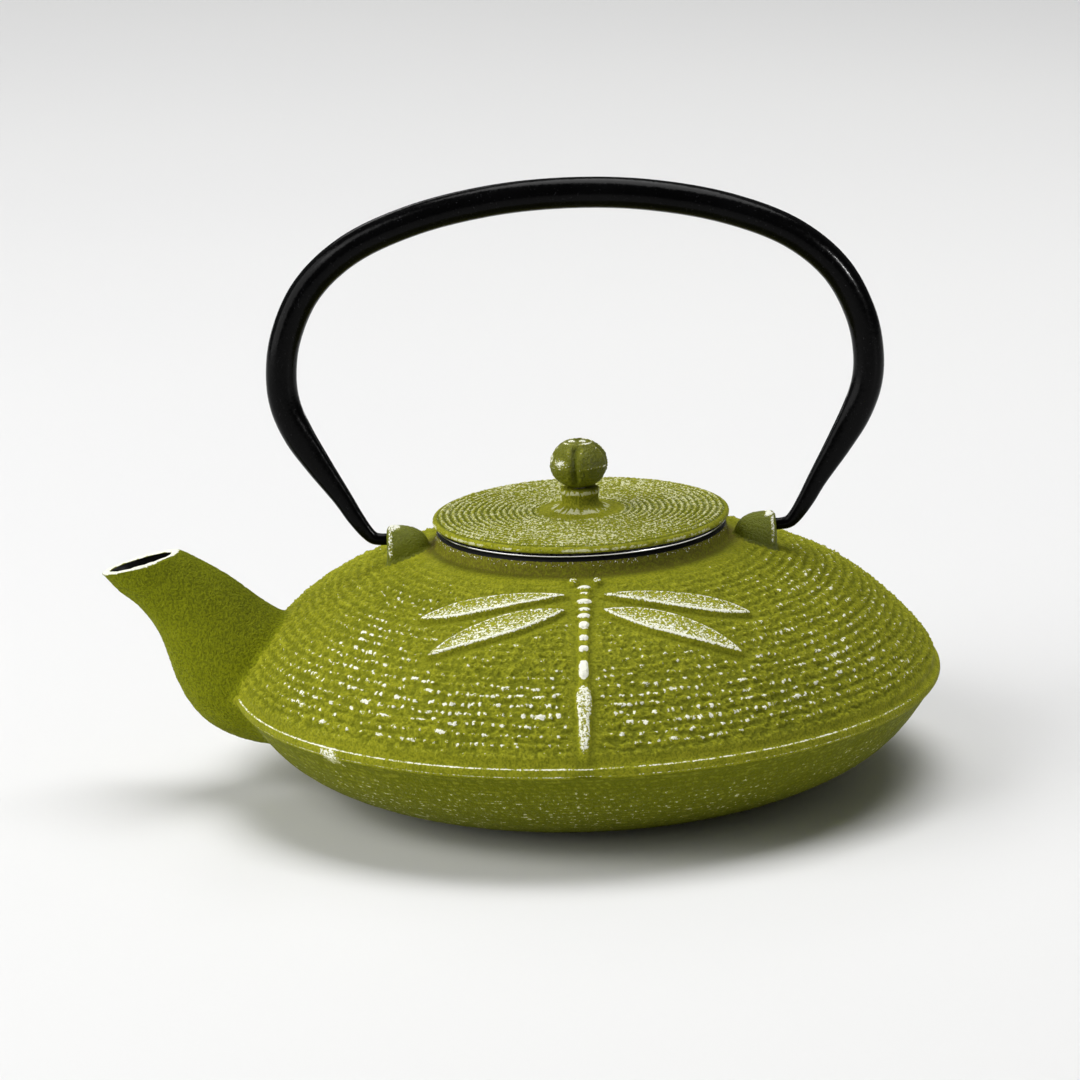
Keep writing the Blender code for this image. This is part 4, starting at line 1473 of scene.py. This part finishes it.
def woven_tube(material):
    """The basket's wall: upright and round wires that pass over and under each other."""
    rings = int((MESH_TOP - MESH_LOW) / MESH_PITCH)
    out, aside = wire_section()
    wave = WIRE_RADIUS * 0.9
    wires = []
    z = np.linspace(MESH_LOW, MESH_TOP, 2 * rings + 1)
    faces = grid_faces(len(z), WIRE_SIDES)
    for i in range(MESH_UPRIGHTS):
        angle = 2 * pi * i / MESH_UPRIGHTS
        weave = wave * np.cos(pi * (z - MESH_LOW) / MESH_PITCH + pi * (i % 2))
        radius = (MESH_RADIUS + weave)[:, None] + out
        x = radius * np.sin(angle) + aside * np.cos(angle)
        y = -radius * np.cos(angle) + aside * np.sin(angle)
        wires.append((np.stack([x, y, z[:, None] + 0 * radius], -1), faces))
    turns = np.linspace(0, 2 * pi, 2 * MESH_UPRIGHTS, endpoint=False)
    faces = grid_faces(len(turns) + 1, WIRE_SIDES) % (len(turns) * WIRE_SIDES)
    for k in range(rings + 1):
        weave = -wave * np.cos(MESH_UPRIGHTS * turns + pi * k)
        radius = (MESH_RADIUS + weave)[:, None] + out
        x = radius * np.sin(turns)[:, None]
        y = -radius * np.cos(turns)[:, None]
        height = MESH_LOW + k * MESH_PITCH + aside + 0 * radius
        wires.append((np.stack([x, y, height], -1), faces))
    return woven("infuser_woven_wall", wires, material)


def woven_disc(material):
    """The basket's floor: two crossing sets of straight wires cut to a circle."""
    out, aside = wire_section()
    wires = []
    for axis, sign in ((0, 1), (1, -1)):
        for k, offset in enumerate(np.arange(-DISC_RADIUS + 0.6, DISC_RADIUS, MESH_PITCH)):
            reach = np.sqrt(max(DISC_RADIUS**2 - offset**2, 0.0))
            if reach < 1.0:
                continue
            run = np.arange(-reach, reach, MESH_PITCH / 2)[:, None]
            weave = sign * WIRE_RADIUS * 0.8 * np.cos(pi * (run + DISC_RADIUS) / MESH_PITCH + pi * (k % 2))
            across = offset + out + 0 * run
            along = run + 0 * across
            z = DISC_Z + weave + aside
            grid = np.stack([along, across, z] if axis == 0 else [across, along, z], -1)
            wires.append((grid, grid_faces(len(run), WIRE_SIDES)))
    return woven("infuser_woven_floor", wires, material)


def make_infuser(parts):
    wire = steel("wire_steel")
    rim = closed_ring("infuser_flanged_rim", INFUSER_RIM_OUTLINE, steel("bright_steel"))
    wall = woven_tube(wire)
    band = closed_ring("infuser_bottom_band", BOTTOM_BAND_OUTLINE, steel("ring_steel_turned"))
    floor = woven_disc(wire)
    parts.append((rim, "infuser", ["infuser_rim"], "rim_steel"))
    parts.append((wall, "infuser", ["infuser_mesh_wall"], "mesh_steel"))
    parts.append((band, "infuser", ["infuser_bottom_ring"], "ring_steel"))
    parts.append((floor, "infuser", ["infuser_mesh_floor"], "floor_steel"))


# ======================================================================== handle
def handle_mesh(material):
    """The rolled tube, with its closing fold along the inner side of both tapered legs."""
    right = np.array(HANDLE_HALF, float)
    left = right[:-1] * [-1, 1, 1]
    line = curve_through(np.vstack([left, right[::-1]]), HANDLE_STEP)
    centre = line[:, :2]
    tangent = np.gradient(centre, axis=0)
    tangent /= np.linalg.norm(tangent, axis=1)[:, None]
    outward = np.stack([-tangent[:, 1], tangent[:, 0]], -1)
    phi = np.linspace(0, 2 * pi, HANDLE_COLUMNS, endpoint=False)[None, :]
    taper = 1 - smoothstep(86.0, 98.0, centre[:, 1])
    free = smoothstep(51.0, 55.0, np.abs(centre[:, 0]))
    pinch = (taper * free)[:, None]
    fold = hump(phi, pi, 0.17)
    shoulder = hump(np.abs(phi - pi), 0.62, 0.30)
    radius = line[:, 2:3] * (1 - pinch * (0.30 * fold - 0.07 * shoulder))
    flatter = 1 - 0.10 * pinch * np.abs(np.sin(phi))
    u = radius * np.cos(phi)
    x = centre[:, 0:1] + outward[:, 0:1] * u
    y = radius * flatter * np.sin(phi)
    z = centre[:, 1:2] + outward[:, 1:2] * u
    grid = np.stack([x, y, z], -1)
    ends = []
    for i in (0, -1):
        middle = np.array([centre[i, 0], 0, centre[i, 1]])
        ends.append([grid[i] * share + middle * (1 - share) for share in (0.8, 0.02)])
    grid = np.concatenate([ends[0][::-1], grid, ends[1]])
    faces = grid_faces(len(grid), HANDLE_COLUMNS)
    obj = mesh_object("handle_tube", grid.reshape(-1, 3), faces, material)
    face_outwards(obj)
    return obj


# ======================================================================== stage
def make_floor():
    points = [(x, y, 0) for x, y in ((-1, -1), (1, -1), (1, 1), (-1, 1))]
    points = np.array(points) * FLOOR_HALF + FLOOR_CENTRE
    floor = mesh_object("studio_floor", points, np.array([[0, 1, 2, 3]]), floor_material())


def area_light(name, place_at, target, size, power):
    data = bpy.data.lights.new(name, "AREA")
    data.shape = "RECTANGLE"
    data.size, data.size_y = size
    data.energy = power
    obj = bpy.data.objects.new(name, data)
    bpy.context.scene.collection.objects.link(obj)
    obj.location = place_at
    direction = Vector(target) - Vector(place_at)
    obj.rotation_mode = "QUATERNION"
    obj.rotation_quaternion = direction.to_track_quat("-Z", "Y")
    obj.visible_diffuse = name != GLINT_LIGHT


def make_lights():
    world = bpy.data.worlds.new("studio_air")
    bpy.context.scene.world = world
    world.use_nodes = True
    background = world.node_tree.nodes["Background"]
    background.inputs["Color"].default_value = (1.0, 1.0, 1.0, 1.0)
    background.inputs["Strength"].default_value = AIR_STRENGTH
    for name, settings in LIGHTS.items():
        area_light(name, *settings)


def make_camera():
    data = bpy.data.cameras.new("camera")
    data.lens = CAMERA_LENS
    data.sensor_width = CAMERA_SENSOR
    data.shift_x, data.shift_y = CAMERA_SHIFT
    data.clip_start, data.clip_end = CAMERA_CLIP
    camera = bpy.data.objects.new("camera", data)
    bpy.context.scene.collection.objects.link(camera)
    level = np.array([np.cos(CAMERA_YAW), np.sin(CAMERA_YAW), 0.0])
    ahead = np.array([-np.sin(CAMERA_YAW), np.cos(CAMERA_YAW), 0.0])
    forward = ahead * np.cos(CAMERA_PITCH) - np.array([0.0, 0.0, np.sin(CAMERA_PITCH)])
    upright = np.cross(level, forward)
    right = level * np.cos(CAMERA_ROLL) + upright * np.sin(CAMERA_ROLL)
    up = -level * np.sin(CAMERA_ROLL) + upright * np.cos(CAMERA_ROLL)
    rows = np.column_stack([right, up, -forward, CAMERA_PLACE]).tolist()
    camera.matrix_world = Matrix([*rows, [0.0, 0.0, 0.0, 1.0]])
    bpy.context.scene.camera = camera


def main():
    make_camera()
    make_lights()
    make_floor()
    parts = []
    make_pot(parts)
    make_lid(parts)
    make_infuser(parts)
    parts.append((handle_mesh(powder_coat()), "handle", ["handle"], "black_tube"))
    for piece, body, nodes, slot in parts:
        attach(piece, body)
        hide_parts(*nodes)
    bpy.context.scene.view_settings.view_transform = "Standard"
    bpy.context.scene.view_settings.look = "None"


main()
